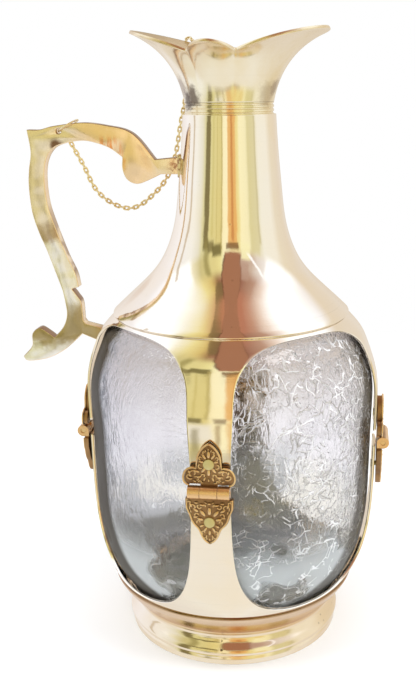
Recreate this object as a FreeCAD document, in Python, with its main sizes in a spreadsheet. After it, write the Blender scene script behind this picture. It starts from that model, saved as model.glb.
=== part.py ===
import FreeCAD, Part
import math
import os
import Sketcher

# Brass jug with a glass body in a riveted brass cage, an S-shaped cast handle and a chained stopper.
# Millimetres. The origin is the centre of the foot's rest plane, +Z is up along the jug's axis,
# +X points to the pouring side, the handle is on -X and one strap of the cage faces -Y.

Vector = FreeCAD.Vector
Z_AXIS = Vector(0, 0, 1)
Y_AXIS = Vector(0, 1, 0)
X_AXIS = Vector(1, 0, 0)

SIZES = (
    ("brass_wall", 1.3, "sheet brass of the bell and the cage"),
    ("seat_gap", 0.1, "clearance between a piece and its seat"),
    ("cut_overrun", 2.0, "how far a cutter runs past what it cuts"),
    ("foot_floor_radius", 53.9, "foot ring, radius it stands on"),
    ("foot_wall", 1.5, "foot ring, sheet thickness"),
    ("foot_band_tall", 4.4, "foot ring, plain band above the floor"),
    ("foot_step", 0.5, "foot ring, step between band and swell"),
    ("foot_swell", 1.6, "foot ring, how far the swell's lowest pole stands past the floor radius"),
    ("foot_waist", 2.7, "foot ring, how far the waist's poles draw in from the floor radius"),
    ("foot_tall", 17.0, "foot ring height"),
    ("foot_top_radius", 53.4, "foot ring, outer radius at its top"),
    ("foot_bore_radius", 46.0, "foot ring, bore of its top flange"),
    ("base_disc_thick", 1.2, "disc that closes the foot"),
    ("collar_tall", 12.6, "band soldered round the bowl above the foot"),
    ("collar_wall", 1.24, "how far that band's upper edge stands off the bowl"),
    ("collar_seat", 0.12, "solder gap between band and bowl"),
    ("bowl_floor_radius", 48.0, "flat floor of the lower cage"),
    ("bowl_waist_radius", 54.6, "lower cage, pole where the bowl starts to swell"),
    ("belly_radius", 73.0, "largest radius of the cage"),
    ("lower_cage_tall", 82.0, "lower cage, floor to strap ends"),
    ("strap_gap", 8.0, "gap in each strap, under its hinge"),
    ("upper_cage_tall", 57.6, "upper cage, strap ends to seam"),
    ("seam_radius", 57.0, "radius where the upper cage meets the bell"),
    ("seam_run", 8.2, "inward run of the line through the seam"),
    ("seam_rise", 7.9, "upward rise of the line through the seam"),
    ("bell_tall", 94.4, "shoulder and neck, seam to neck ring"),
    ("neck_radius", 20.7, "outer radius at the top of the neck"),
    ("window_wide", 88.6, "width of each window across its chord"),
    ("window_low", 14.5, "window's lowest point above the bowl floor"),
    ("window_margin", 1.4, "brass left between a window and the seam"),
    ("window_start", 46.0, "distance from the axis where the window cutters start"),
    ("ring_tall", 5.5, "turned ring between neck and mouth"),
    ("ring_proud", 0.25, "how far the ring stands past the neck"),
    ("ring_bore_radius", 18.4, "bore of the ring, the stopper's seat"),
    ("groove_radius", 0.45, "each turned groove"),
    ("groove_pitch", 1.85, "spacing of the three grooves"),
    ("funnel_wall", 1.5, "sheet thickness of the mouth"),
    ("funnel_tall", 31.5, "mouth, ring to the tip of a large lobe"),
    ("large_lobe_radius", 47.0, "mouth, tip of the pouring lobe and its twin"),
    ("small_lobe_radius", 36.7, "mouth, front and back lobes"),
    ("notch_radius", 30.0, "mouth, depth of the four notches"),
    ("notch_drop", 9.5, "notches below the large lobes"),
    ("small_lobe_drop", 6.0, "small lobes below the large lobes"),
    ("mouth_turn", 9.0, "degrees that the mouth is turned from the straps towards the front"),
    ("glass_gap", 1.6, "gap between glass and cage"),
    ("glass_wall", 2.6, "glass thickness"),
    ("pad_thick", 3.0, "felt pad under the glass"),
    ("pad_radius", 38.0, "felt pad"),
    ("glass_neck_radius", 20.0, "outer radius of the glass neck"),
    ("glass_neck_rise", 49.4, "glass mouth above the seam"),
    ("glass_neck_long", 18.4, "straight part of the glass neck"),
    ("seal_tall", 5.0, "cork ring round the glass neck"),
    ("seal_fit", 0.3, "cork ring's edge off the brass neck's inside"),
    ("seal_drop", 3.4, "cork ring's top below the glass mouth"),
    ("handle_standoff", 2.139, "handle's end from the neck beside it"),
    ("handle_reach", 83.5, "handle, from its upper end to the tip of its tail"),
    ("handle_tall", 119.7, "handle, lowest to highest point"),
    ("handle_drop", 28.8, "handle's lowest point below the seam"),
    ("handle_thick", 5.5, "handle, cast thickness"),
    ("handle_edge", 0.8, "bevel of the handle's edges"),
    ("handle_collar_tall", 10.8, "square collar at the neck"),
    ("handle_collar_thick", 8.4, "square collar, front to back"),
    ("handle_hole_radius", 1.3, "hole for the jump ring"),
    ("jump_ring_radius", 5.3, "jump ring, centre line"),
    ("jump_wire_radius", 0.42, "jump ring wire"),
    ("jump_ring_tilt", 30.0, "degrees that the ring rises towards the neck"),
    ("jump_ring_seat", 0.4, "jump ring's wire behind the centre of its hole"),
    ("link_inner_long", 2.45, "chain link, inside length"),
    ("link_inner_wide", 1.0, "chain link, inside width"),
    ("link_wire_radius", 0.3, "chain link wire"),
    ("link_play", 0.1, "play between two links"),
    ("chain_clear", 1.5, "chain's centre line off the mouth's sheet"),
    ("chain_lip_clear", 2.9, "chain's centre line off the mouth's edge"),
    ("leaf_half", 10.75, "hinge leaf, half width"),
    ("leaf_thick", 2.3, "hinge leaf thickness"),
    ("leaf_up_tall", 21.7, "hinge, pin to the upper tip"),
    ("leaf_down_tall", 25.1, "hinge, pin to the lower tip"),
    ("knuckle_radius", 3.0, "hinge knuckles"),
    ("middle_knuckle_half", 3.8, "half length of the middle knuckle"),
    ("knuckle_play", 0.2, "play between two knuckles"),
    ("outer_knuckle_end", 9.3, "outer end of the outer knuckles"),
    ("hinge_pin_radius", 1.2, "hinge pin"),
    ("hinge_pin_fit", 0.05, "radial clearance of pins and rivets"),
    ("hinge_pin_sink", 0.6, "pin ends below the knuckle ends"),
    ("hinge_rise", 1.9, "hinge pins above the ends of the lower straps"),
    ("hinge_seat", 0.35, "leaf's back plane off the largest radius"),
    ("strap_draw", 0.4, "how far the lower straps draw in at their rivets"),
    ("rivet_radius", 1.2, "rivet shank"),
    ("rivet_head_radius", 2.4, "rivet head"),
    ("rivet_head_tall", 0.7, "rivet head height"),
    ("rivet_tail_radius", 2.0, "peened end inside the strap"),
    ("rivet_tail_tall", 0.5, "peened end height"),
    ("rivet_up", 13.0, "upper rivet above the pin"),
    ("rivet_down", 14.4, "lower rivet below the pin"),
    ("cap_radius", 19.0, "stopper cap, flange radius"),
    ("cap_flange_thick", 2.0, "stopper cap, flange"),
    ("cap_dome_tall", 3.4, "stopper cap, dome above the flange"),
    ("cap_stem_radius", 3.2, "stopper cap, stem under the knob"),
    ("knob_radius", 5.4, "stopper knob"),
    ("knob_tall", 8.6, "stopper knob height"),
    ("stud_radius", 2.0, "stud through the cork"),
    ("cork_top_radius", 18.0, "cork, upper end"),
    ("cork_low_radius", 17.0, "cork, lower end"),
    ("cork_tall", 18.0, "cork height"),
    ("washer_radius", 8.0, "washer under the cork"),
    ("washer_thick", 1.2, "washer thickness"),
    ("eye_radius", 2.1, "eye on the knob, centre line"),
    ("eye_wire_radius", 0.4, "eye wire"),
    ("eye_shank_long", 3.2, "eye's shank in the knob"),
)

# Profile poles as shares. The first number runs from the inner to the outer radius of the
# stretch, and the second from its bottom to its top.
LOWER_CAGE_SHARES = ((0.397, 0.166), (0.766, 0.320), (0.973, 0.580), (0.985, 0.79), (1.0, 1.0))
UPPER_CAGE_SHARES = ((1.0, 0.0), (1.019, 0.20), (1.0625, 0.47), (0.594, 0.781))
BELL_SHARES = ((0.446, 0.191), (0.245, 0.315), (0.113, 0.475), (0.077, 0.649), (0.019, 0.852), (0.0, 1.0))

# Half of the window's outline: shares of its half width, and of its height from the bottom.
WINDOW_SHARES = ((0.0, 0.0), (0.30, 0.0), (0.69, 0.022), (0.98, 0.18), (1.01, 0.42),
                 (1.02, 0.62), (0.99, 0.85), (0.72, 0.985), (0.30, 1.0), (0.0, 1.0))

# Flare of the mouth: radius and height shares of the two middle poles of its meridian.
FUNNEL_FLARE_SHARES = ((0.07, 0.30), (0.25, 0.746))
FUNNEL_STEPS = 48
NOTCH_STEP = 9

# Handle outline as (reach, height) shares, stretch by stretch; each stretch starts where the
# last one ended, two points make a straight line and more make a curve.
HANDLE_OUTLINE_SHARES = (
    ((0.887, 0.973), (0.810, 0.973), (0.726, 0.987), (0.550, 1.000), (0.399, 0.987), (0.298, 0.971),
     (0.229, 0.938), (0.152, 0.871), (0.134, 0.855)),
    ((0.134, 0.855), (0.000, 0.864)),
    ((0.000, 0.864), (0.000, 0.797)),
    ((0.000, 0.797), (0.104, 0.797)),
    ((0.104, 0.797), (0.156, 0.779), (0.238, 0.758), (0.299, 0.774), (0.327, 0.816), (0.325, 0.864)),
    ((0.325, 0.864), (0.394, 0.898), (0.474, 0.919), (0.556, 0.929), (0.659, 0.919), (0.734, 0.898),
     (0.780, 0.850), (0.796, 0.780), (0.786, 0.675), (0.741, 0.568), (0.686, 0.460), (0.640, 0.388),
     (0.623, 0.329)),
    ((0.623, 0.329), (0.666, 0.321)),
    ((0.666, 0.321), (0.636, 0.292), (0.612, 0.262), (0.606, 0.187)),
    ((0.606, 0.187), (0.592, 0.173)),
    ((0.592, 0.173), (0.483, 0.155)),
    ((0.483, 0.155), (0.519, 0.099)),
    ((0.519, 0.099), (0.616, 0.126)),
    ((0.616, 0.126), (0.731, 0.055), (0.846, 0.014), (0.968, 0.000), (1.000, 0.019)),
    ((1.000, 0.019), (0.940, 0.067), (0.934, 0.120), (0.887, 0.148), (0.835, 0.130), (0.793, 0.108)),
    ((0.793, 0.108), (0.734, 0.155), (0.708, 0.208), (0.714, 0.261), (0.726, 0.312)),
    ((0.726, 0.312), (0.804, 0.474), (0.849, 0.553), (0.884, 0.639), (0.895, 0.745), (0.887, 0.815),
     (0.871, 0.885), (0.887, 0.973)),
)
HANDLE_HOLE_SHARES = (0.695, 0.967)

# Hinge leaf outlines, right half: shares of the half width, and of the leaf's own height.
LEAF_UP_ARCH_SHARES = ((0.0, 1.0), (0.16, 0.96), (0.38, 0.85), (0.42, 0.71))
LEAF_UP_NECK_SHARES = ((0.42, 0.71), (0.47, 0.485))
LEAF_UP_LOBE_SHARES = ((0.47, 0.485), (0.78, 0.52), (1.06, 0.39), (1.02, 0.18), (0.80, 0.17))
LEAF_DOWN_SIDE_SHARES = ((1.0, 0.138), (0.985, 0.32), (0.86, 0.44))
LEAF_DOWN_TIP_SHARES = ((0.86, 0.44), (0.76, 0.63), (0.47, 0.68), (0.40, 0.86), (0.17, 0.98), (0.0, 1.0))

# Chain route behind the handle and the neck, from the jump ring to under the mouth's edge:
# shares of the handle's far radius, the same, and of the height of the large lobes.
CHAIN_HANG_SHARES = ((0.733, 0.039, 0.833), (0.672, 0.045, 0.789), (0.630, 0.048, 0.756),
                     (0.577, 0.052, 0.736), (0.527, 0.056, 0.726), (0.473, 0.060, 0.722))
CHAIN_RISE_SHARES = ((0.426, 0.064, 0.727), (0.370, 0.068, 0.742), (0.318, 0.074, 0.760),
                     (0.277, 0.083, 0.781), (0.236, 0.102, 0.817), (0.219, 0.130, 0.855),
                     (0.211, 0.175, 0.895), (0.214, 0.230, 0.940))
CHAIN_LIP_TURN = -142.0
CHAIN_OUTSIDE_LIP_SHARE = 0.93
CHAIN_INSIDE_LIP_SHARES = (0.92, 0.80, 0.66)

SIDES = (("front", 0.0), ("spout_side", 90.0), ("back", 180.0), ("handle_side", 270.0))

doc = FreeCAD.newDocument("brass_jug")
sheet = doc.addObject("Spreadsheet::Sheet", "Sizes")
sub_parts = []


def fill_sheet():
    for row, (alias, number, meaning) in enumerate(SIZES, 1):
        sheet.set("A%d" % row, meaning)
        sheet.set("B%d" % row, str(number))
        sheet.setAlias("B%d" % row, alias)
    doc.recompute()


def value(expression):
    return float(sheet.evalExpression(expression))


def size(alias):
    return value("Sizes." + alias)


def total(*terms):
    return "(" + " + ".join(terms) + ")"


def between(low, high, share):
    return "(%s + (%s - %s) * %s)" % (low, high, low, share)


def bind(thing, **expressions):
    for name, expression in expressions.items():
        thing.setExpression(name, expression)
    return thing


def keep(thing, label):
    thing.Label = label
    sub_parts.append(thing)
    return thing


def place(thing, height="0", turn=0.0, offset=Vector(0, 0, 0)):
    thing.Placement = FreeCAD.Placement(offset, FreeCAD.Rotation(Z_AXIS, turn))
    if height != "0":
        thing.setExpression("Placement.Base.z", height)
    return thing


FLOOR_Z = "Sizes.foot_tall"
LOWER_TOP_Z = total(FLOOR_Z, "Sizes.lower_cage_tall")
UPPER_LOW_Z = total(LOWER_TOP_Z, "Sizes.strap_gap")
SEAM_Z = total(UPPER_LOW_Z, "Sizes.upper_cage_tall")
RING_Z = total(SEAM_Z, "Sizes.bell_tall")
MOUTH_Z = total(RING_Z, "Sizes.ring_tall")
HINGE_Z = "(%s + Sizes.hinge_rise)" % LOWER_TOP_Z
HANDLE_LOW_Z = "(%s - Sizes.handle_drop)" % SEAM_Z
GLASS_DEPTH = "(Sizes.brass_wall + Sizes.glass_gap)"


# Sketches whose every vertex and pole is bound to the sheet.

def fix_point(sketch, geometry, vertex, across, up):
    for kind, expression, axis in (("DistanceX", across, -2), ("DistanceY", up, -1)):
        number = value(expression)
        if abs(number) < 1e-9:
            sketch.addConstraint(Sketcher.Constraint("PointOnObject", geometry, vertex, axis))
        elif number > 0:
            index = sketch.addConstraint(Sketcher.Constraint(kind, -1, 1, geometry, vertex, number))
            sketch.setExpression("Constraints[%d]" % index, expression)
        else:
            index = sketch.addConstraint(Sketcher.Constraint(kind, geometry, vertex, -1, 1, -number))
            sketch.setExpression("Constraints[%d]" % index, "-(%s)" % expression)


def add_line(sketch, points):
    ends = [Vector(value(across), value(up), 0) for across, up in points]
    line = sketch.addGeometry(Part.LineSegment(*ends), False)
    fix_point(sketch, line, 1, *points[0])
    fix_point(sketch, line, 2, *points[1])


def add_spline(sketch, points):
    poles = [Vector(value(across), value(up), 0) for across, up in points]
    curve = Part.BSplineCurve()
    curve.buildFromPoles(poles, False, 3)
    spline = sketch.addGeometry(curve, False)
    first = sketch.GeometryCount
    sketch.exposeInternalGeometry(spline)
    circles = [number for number in range(first, sketch.GeometryCount)
               if isinstance(sketch.Geometry[number], Part.Circle)]
    for circle, point in zip(circles, points):
        fix_point(sketch, circle, 3, *point)


def draw(sketch, stretches):
    for points in stretches:
        if len(points) == 2:
            add_line(sketch, points)
        else:
            add_spline(sketch, points)
    return sketch


def upright_sketch(name, stretches):
    sketch = doc.addObject("Sketcher::SketchObject", name)
    sketch.Placement = FreeCAD.Placement(Vector(0, 0, 0), FreeCAD.Rotation(X_AXIS, 90))
    return draw(sketch, stretches)


def spun_body(name, stretches):
    body = doc.addObject("PartDesign::Body", name)
    sketch = body.newObject("Sketcher::SketchObject", name + "_section")
    plane = [feature for feature in body.Origin.OriginFeatures if feature.Role == "XZ_Plane"][0]
    sketch.AttachmentSupport = (plane, [""])
    sketch.MapMode = "FlatFace"
    draw(sketch, stretches)
    spun = body.newObject("PartDesign::Revolution", name + "_spun")
    spun.Profile = sketch
    spun.ReferenceAxis = (sketch, ["V_Axis"])
    spun.Angle = 360
    doc.recompute()
    return body


def spun_shell(name, stretches, wall):
    skin = doc.addObject("Part::Revolution", name + "_skin")
    skin.Source = upright_sketch(name + "_line", stretches)
    skin.Axis = Z_AXIS
    skin.Base = Vector(0, 0, 0)
    skin.Angle = 360
    skin.Solid = False
    shell = doc.addObject("Part::Offset", name)
    shell.Source = skin
    shell.Fill = True
    shell.setExpression("Value", "-" + wall)
    return shell


def cylinder(name, radius, length, height="0"):
    solid = bind(doc.addObject("Part::Cylinder", name), Radius=radius, Height=length)
    return place(solid, height)


def fuse(name, *pieces):
    joined = doc.addObject("Part::MultiFuse", name)
    joined.Shapes = list(pieces)
    return joined


def cut(name, base, tool):
    result = doc.addObject("Part::Cut", name)
    result.Base = base
    result.Tool = tool
    return result


# Profiles of the brass shells, as (radius, height) expressions.

def lower_cage_poles():
    poles = [("Sizes.bowl_floor_radius", FLOOR_Z), ("Sizes.bowl_waist_radius", FLOOR_Z)]
    for out_share, up_share in LOWER_CAGE_SHARES:
        poles.append((between("Sizes.bowl_waist_radius", "Sizes.belly_radius", out_share),
                      between(FLOOR_Z, LOWER_TOP_Z, up_share)))
    return poles


def upper_cage_poles():
    poles = []
    for out_share, up_share in UPPER_CAGE_SHARES:
        poles.append((between("Sizes.seam_radius", "Sizes.belly_radius", out_share),
                      between(UPPER_LOW_Z, SEAM_Z, up_share)))
    poles.append(("(Sizes.seam_radius + Sizes.seam_run)", "(%s - Sizes.seam_rise)" % SEAM_Z))
    poles.append(("Sizes.seam_radius", SEAM_Z))
    return poles


def bell_poles():
    poles = [("Sizes.seam_radius", SEAM_Z),
             ("(Sizes.seam_radius - Sizes.seam_run)", "(%s + Sizes.seam_rise)" % SEAM_Z)]
    for out_share, up_share in BELL_SHARES:
        poles.append((between("Sizes.neck_radius", "Sizes.seam_radius", out_share),
                      between(SEAM_Z, RING_Z, up_share)))
    return poles


def profile_radius(poles, height, near, far):
    """Radius of a profile at a height, as a stretch of the line from one radius to another."""
    curve = Part.BSplineCurve()
    curve.buildFromPoles([Vector(value(across), value(up), 0) for across, up in poles], False, 3)
    low, high = curve.FirstParameter, curve.LastParameter
    wanted = value(height)
    for _ in range(50):
        middle = (low + high) / 2
        if curve.value(middle).y < wanted:
            low = middle
        else:
            high = middle
    return between(near, far, "%.5f" % ((curve.value(low).x - value(near)) / (value(far) - value(near))))


def bowl_radius(height):
    return profile_radius(lower_cage_poles(), height, "Sizes.bowl_waist_radius", "Sizes.belly_radius")


def neck_radius(height):
    return profile_radius(bell_poles(), height, "Sizes.neck_radius", "Sizes.seam_radius")


def inset(poles, depth):
    moved = []
    for number in range(1, len(poles) - 1):
        before, after = poles[number - 1], poles[number + 1]
        run = value(after[0]) - value(before[0])
        rise = value(after[1]) - value(before[1])
        slope = math.hypot(run, rise)
        out_share, up_share = rise / slope, -run / slope
        across, up = poles[number]
        moved.append(("(%s - %s * %.4f)" % (across, depth, out_share),
                      "(%s - %s * %.4f)" % (up, depth, up_share)))
    return moved


# Foot, collar and base.

def make_foot_ring():
    radius = "Sizes.foot_floor_radius"
    band = "Sizes.foot_band_tall"
    wall = "Sizes.foot_wall"
    top = "Sizes.foot_tall"
    inner = "(%s - %s)" % (radius, wall)
    step_up = "(%s + Sizes.foot_step)" % band
    flange_low = "(%s - %s)" % (top, wall)
    swell = "(%s + Sizes.foot_swell)" % radius
    waist = "(%s - Sizes.foot_waist)" % radius
    swell_low = between(step_up, top, 0.11)
    swell_high = between(step_up, top, 0.33)
    waist_low = between(step_up, top, 0.55)
    waist_high = between(step_up, top, 0.82)
    outer_top = "Sizes.foot_top_radius"
    outline = (
        ((inner, "0"), (radius, "0")),
        ((radius, "0"), (radius, band)),
        ((radius, band), ("(%s + Sizes.foot_step)" % radius, step_up)),
        (("(%s + Sizes.foot_step)" % radius, step_up), (swell, swell_low), (radius, swell_high),
         (waist, waist_low), (waist, waist_high), (outer_top, top)),
        ((outer_top, top), ("Sizes.foot_bore_radius", top)),
        (("Sizes.foot_bore_radius", top), ("Sizes.foot_bore_radius", flange_low)),
        (("Sizes.foot_bore_radius", flange_low), ("(%s - 2 * %s)" % (outer_top, wall), flange_low)),
        (("(%s - 2 * %s)" % (outer_top, wall), flange_low), ("(%s - %s)" % (waist, wall), waist_high),
         ("(%s - %s)" % (waist, wall), waist_low), ("(%s - %s)" % (radius, wall), swell_high),
         ("(%s - %s)" % (swell, wall), swell_low), (inner, band)),
        ((inner, band), (inner, "0")),
    )
    return keep(spun_body("foot_ring_body", outline), "foot_ring")


def make_base_disc():
    radius = "Sizes.foot_floor_radius - Sizes.foot_wall - Sizes.seat_gap"
    return keep(cylinder("base_disc_solid", radius, "Sizes.base_disc_thick"), "base_disc")


def make_foot_collar(lower_shell):
    foot_edge = "Sizes.foot_top_radius"
    top = total(FLOOR_Z, "Sizes.collar_tall")
    near = bowl_radius(top)
    outer = "(%s + Sizes.collar_wall)" % near
    low_up = between(FLOOR_Z, top, 0.24)
    high_up = between(FLOOR_Z, top, 0.72)
    low_bend = "(%s + Sizes.collar_wall * 0.7)" % bowl_radius(low_up)
    high_bend = "(%s + Sizes.collar_wall * 0.9)" % bowl_radius(high_up)
    inner = "(%s - Sizes.brass_wall / 2)"
    outline = (
        ((foot_edge, FLOOR_Z), (low_bend, low_up), (high_bend, high_up), (outer, top)),
        ((outer, top), (inner % near, top)),
        ((inner % near, top), (inner % foot_edge, FLOOR_Z)),
        ((inner % foot_edge, FLOOR_Z), (foot_edge, FLOOR_Z)),
    )
    blank = spun_body("foot_collar_blank", outline)
    solder = doc.addObject("Part::Offset", "foot_collar_solder")
    solder.Source = lower_shell.Source
    solder.Fill = True
    solder.setExpression("Value", "Sizes.collar_seat")
    seated = cut("foot_collar_seated", blank, lower_shell)
    return keep(cut("foot_collar_cut", seated, solder), "foot_collar")


# Cage: two spun shells cut by the four windows, with rivet holes.

def make_window_cutters(name):
    low = total(FLOOR_Z, "Sizes.window_low")
    high = "(%s - Sizes.window_margin)" % SEAM_Z
    half = "Sizes.window_wide / 2"
    stretches = []
    for side in ("", "-"):
        stretches.append([("%s(%s) * %s" % (side, half, out_share), between(low, high, up_share))
                          for out_share, up_share in WINDOW_SHARES])
    outline = upright_sketch(name + "_outline", stretches)
    cutters = []
    for number, (side, turn) in enumerate(SIDES):
        cutter = doc.addObject("Part::Extrusion", "%s_%d" % (name, number))
        cutter.Base = outline
        cutter.Dir = Vector(0, -1, 0)
        cutter.Solid = True
        angle = math.radians(turn + 45)
        bind(cutter, LengthFwd="Sizes.belly_radius - Sizes.window_start + Sizes.cut_overrun")
        place(cutter, turn=turn + 45)
        cutter.setExpression("Placement.Base.x", "Sizes.window_start * %.6f" % math.sin(angle))
        cutter.setExpression("Placement.Base.y", "-Sizes.window_start * %.6f" % math.cos(angle))
        cutters.append(cutter)
    return cutters


def radial_cylinder(name, radius, near, far, height, turn):
    rod = doc.addObject("Part::Cylinder", name)
    lying = FreeCAD.Rotation(X_AXIS, 90)
    rod.Placement = FreeCAD.Placement(Vector(0, 0, 0), FreeCAD.Rotation(Z_AXIS, turn).multiply(lying))
    bind(rod, Radius=radius, Height="%s - %s" % (far, near))
    angle = math.radians(turn)
    rod.setExpression("Placement.Base.x", "(%s) * %.6f" % (near, math.sin(angle)))
    rod.setExpression("Placement.Base.y", "-(%s) * %.6f" % (near, math.cos(angle)))
    rod.setExpression("Placement.Base.z", height)
    return rod


def make_rivet_holes(name, height):
    radius = "Sizes.rivet_radius + Sizes.hinge_pin_fit"
    near = "(Sizes.belly_radius - Sizes.brass_wall - 2 * Sizes.cut_overrun)"
    far = "(Sizes.belly_radius + Sizes.cut_overrun)"
    return [radial_cylinder("%s_%s" % (name, side), radius, near, far, height, turn) for side, turn in SIDES]


def make_lower_cage():
    line = [(("0", FLOOR_Z), ("Sizes.bowl_floor_radius", FLOOR_Z)), lower_cage_poles()]
    shell = spun_shell("lower_cage_shell", line, "Sizes.brass_wall")
    holes = make_rivet_holes("lower_rivet_hole", "%s - Sizes.rivet_down" % HINGE_Z)
    tools = fuse("lower_cage_tools", *make_window_cutters("lower_window"), *holes)
    return shell, keep(cut("lower_cage_cut", shell, tools), "lower_cage")


def make_upper_cage():
    shell = spun_shell("upper_cage_shell", [upper_cage_poles()], "Sizes.brass_wall")
    holes = make_rivet_holes("upper_rivet_hole", "%s + Sizes.rivet_up" % HINGE_Z)
    tools = fuse("upper_cage_tools", *make_window_cutters("upper_window"), *holes)
    return keep(cut("upper_cage_cut", shell, tools), "upper_cage")


def make_neck_bell():
    return keep(spun_shell("neck_bell_shell", [bell_poles()], "Sizes.brass_wall"), "neck_bell")


# Turned ring with three grooves between the neck and the mouth.

def make_neck_ring():
    outer = "(Sizes.neck_radius + Sizes.ring_proud)"
    bore = "Sizes.ring_bore_radius"
    tall = "Sizes.ring_tall"
    outline = (
        ((bore, "0"), (outer, "0")),
        ((outer, "0"), (outer, tall)),
        ((outer, tall), (bore, tall)),
        ((bore, tall), (bore, "0")),
    )
    body = spun_body("neck_ring_body", outline)
    sketch = body.newObject("Sketcher::SketchObject", "neck_ring_groove_section")
    plane = [feature for feature in body.Origin.OriginFeatures if feature.Role == "XZ_Plane"][0]
    sketch.AttachmentSupport = (plane, [""])
    sketch.MapMode = "FlatFace"
    first_up = "(%s / 2 - Sizes.groove_pitch)" % tall
    centre = Vector(value(outer), value(first_up), 0)
    circle = sketch.addGeometry(Part.Circle(centre, Z_AXIS, size("groove_radius")), False)
    fix_point(sketch, circle, 3, outer, first_up)
    index = sketch.addConstraint(Sketcher.Constraint("Radius", circle, size("groove_radius")))
    sketch.setExpression("Constraints[%d]" % index, "Sizes.groove_radius")
    groove = body.newObject("PartDesign::Groove", "neck_ring_groove")
    groove.Profile = sketch
    groove.ReferenceAxis = (sketch, ["V_Axis"])
    groove.Angle = 360
    doc.recompute()
    row = body.newObject("PartDesign::LinearPattern", "neck_ring_grooves")
    row.Originals = [groove]
    row.Direction = (sketch, ["V_Axis"])
    row.Occurrences = 3
    row.setExpression("Length", "2 * Sizes.groove_pitch")
    body.Tip = row
    body.setExpression("Placement.Base.z", RING_Z)
    return keep(body, "neck_ring")


# Mouth: a trumpet whose edge has two large and two small lobes between four notches.

def lobe_edge(step):
    quarter = FUNNEL_STEPS // 4
    folded = step % (2 * quarter)
    folded = min(folded, 2 * quarter - folded)
    notch_radius = size("notch_radius")
    notch_up = size("funnel_tall") - size("notch_drop")
    if folded < NOTCH_STEP:
        rise_share = math.cos(math.pi / 2 * folded / NOTCH_STEP)
        top_radius = size("large_lobe_radius")
        top_up = size("funnel_tall")
    else:
        rise_share = math.cos(math.pi / 2 * (quarter - folded) / (quarter - NOTCH_STEP))
        top_radius = size("small_lobe_radius")
        top_up = size("funnel_tall") - size("small_lobe_drop")
    return (notch_radius + (top_radius - notch_radius) * rise_share,
            notch_up + (top_up - notch_up) * rise_share)


def mouth_meridian(step):
    radius, up = lobe_edge(step)
    start = size("neck_radius") + size("ring_proud")
    low = value(MOUTH_Z)
    points = [(start, low)]
    for out_share, up_share in FUNNEL_FLARE_SHARES:
        points.append((start + (radius - start) * out_share, low + up * up_share))
    points.append((radius, low + up))
    return points


def meridian_normals(points):
    normals = [(-1.0, 0.0)]
    for number in range(1, len(points)):
        before = points[number - 1]
        after = points[min(number + 1, len(points) - 1)]
        run, rise = after[0] - before[0], after[1] - before[1]
        slope = math.hypot(run, rise)
        normals.append((-rise / slope, run / slope))
    return normals


def mouth_point(radius, up, step):
    spout = math.radians(90.0 - size("mouth_turn"))
    angle = spout + 2 * math.pi * step / FUNNEL_STEPS
    return Vector(radius * math.sin(angle), -radius * math.cos(angle), up)


def mouth_rows(depth):
    rows = [[], [], [], []]
    for step in range(FUNNEL_STEPS):
        points = mouth_meridian(step)
        for row, point, normal in zip(rows, points, meridian_normals(points)):
            row.append(mouth_point(point[0] + depth * normal[0], point[1] + depth * normal[1], step))
    return rows


def closed_face(rows):
    degree = len(rows) - 1
    poles = [[row[step] for row in rows] for step in range(FUNNEL_STEPS)]
    surface = Part.BSplineSurface()
    surface.buildFromPolesMultsKnots(poles, [1] * (FUNNEL_STEPS + 1), [degree + 1, degree + 1],
                                     [float(step) for step in range(FUNNEL_STEPS + 1)], [0.0, 1.0],
                                     True, False, 3, degree)
    return surface.toShape()


def make_mouth_funnel():
    outer = mouth_rows(0.0)
    inner = mouth_rows(size("funnel_wall"))
    faces = [closed_face(outer), closed_face(inner), closed_face([outer[-1], inner[-1]]),
             closed_face([outer[0], inner[0]])]
    shell = Part.makeShell(faces)
    shell.sewShape()
    solid = Part.makeSolid(shell)
    if solid.Volume < 0:
        solid.reverse()
    funnel = doc.addObject("Part::Feature", "mouth_funnel_sheet")
    funnel.Shape = solid
    return keep(funnel, "mouth_funnel")


# Glass vessel, its felt pad and the cork ring round its neck.

def make_glass_vessel():
    floor = "(%s + Sizes.brass_wall + Sizes.pad_thick)" % FLOOR_Z
    mouth = total(SEAM_Z, "Sizes.glass_neck_rise")
    neck = "Sizes.glass_neck_radius"
    straight = "(%s - Sizes.glass_neck_long)" % mouth
    lower = inset(lower_cage_poles(), GLASS_DEPTH)
    upper = inset(upper_cage_poles(), GLASS_DEPTH)
    bell = inset(bell_poles(), GLASS_DEPTH)
    floor_reach = "(Sizes.bowl_floor_radius - Sizes.glass_gap)"
    poles = [("0", floor), ("(%s / 2)" % floor_reach, floor), (floor_reach, floor),
             (lower[0][0], "(%s + Sizes.glass_gap / 2)" % floor)]
    poles += lower[1:] + upper + bell[:2]
    poles += [("(%s + Sizes.glass_wall)" % neck, between(bell[1][1], straight, 0.45)), (neck, straight),
              (neck, between(straight, mouth, 0.5)), (neck, mouth)]
    wall = "Sizes.glass_wall"
    inside = [("0", "(%s + %s)" % (floor, wall)), (poles[1][0], "(%s + %s)" % (floor, wall))]
    inside += inset(poles, wall)[1:] + [("(%s - %s)" % (neck, wall), mouth)]
    outline = (poles, (poles[-1], inside[-1]), inside, (("0", floor), inside[0]))
    return keep(spun_body("glass_vessel_body", outline), "glass_vessel")


def make_glass_pad():
    height = "%s + Sizes.brass_wall" % FLOOR_Z
    return keep(cylinder("glass_pad_solid", "Sizes.pad_radius", "Sizes.pad_thick", height), "glass_pad")


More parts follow.
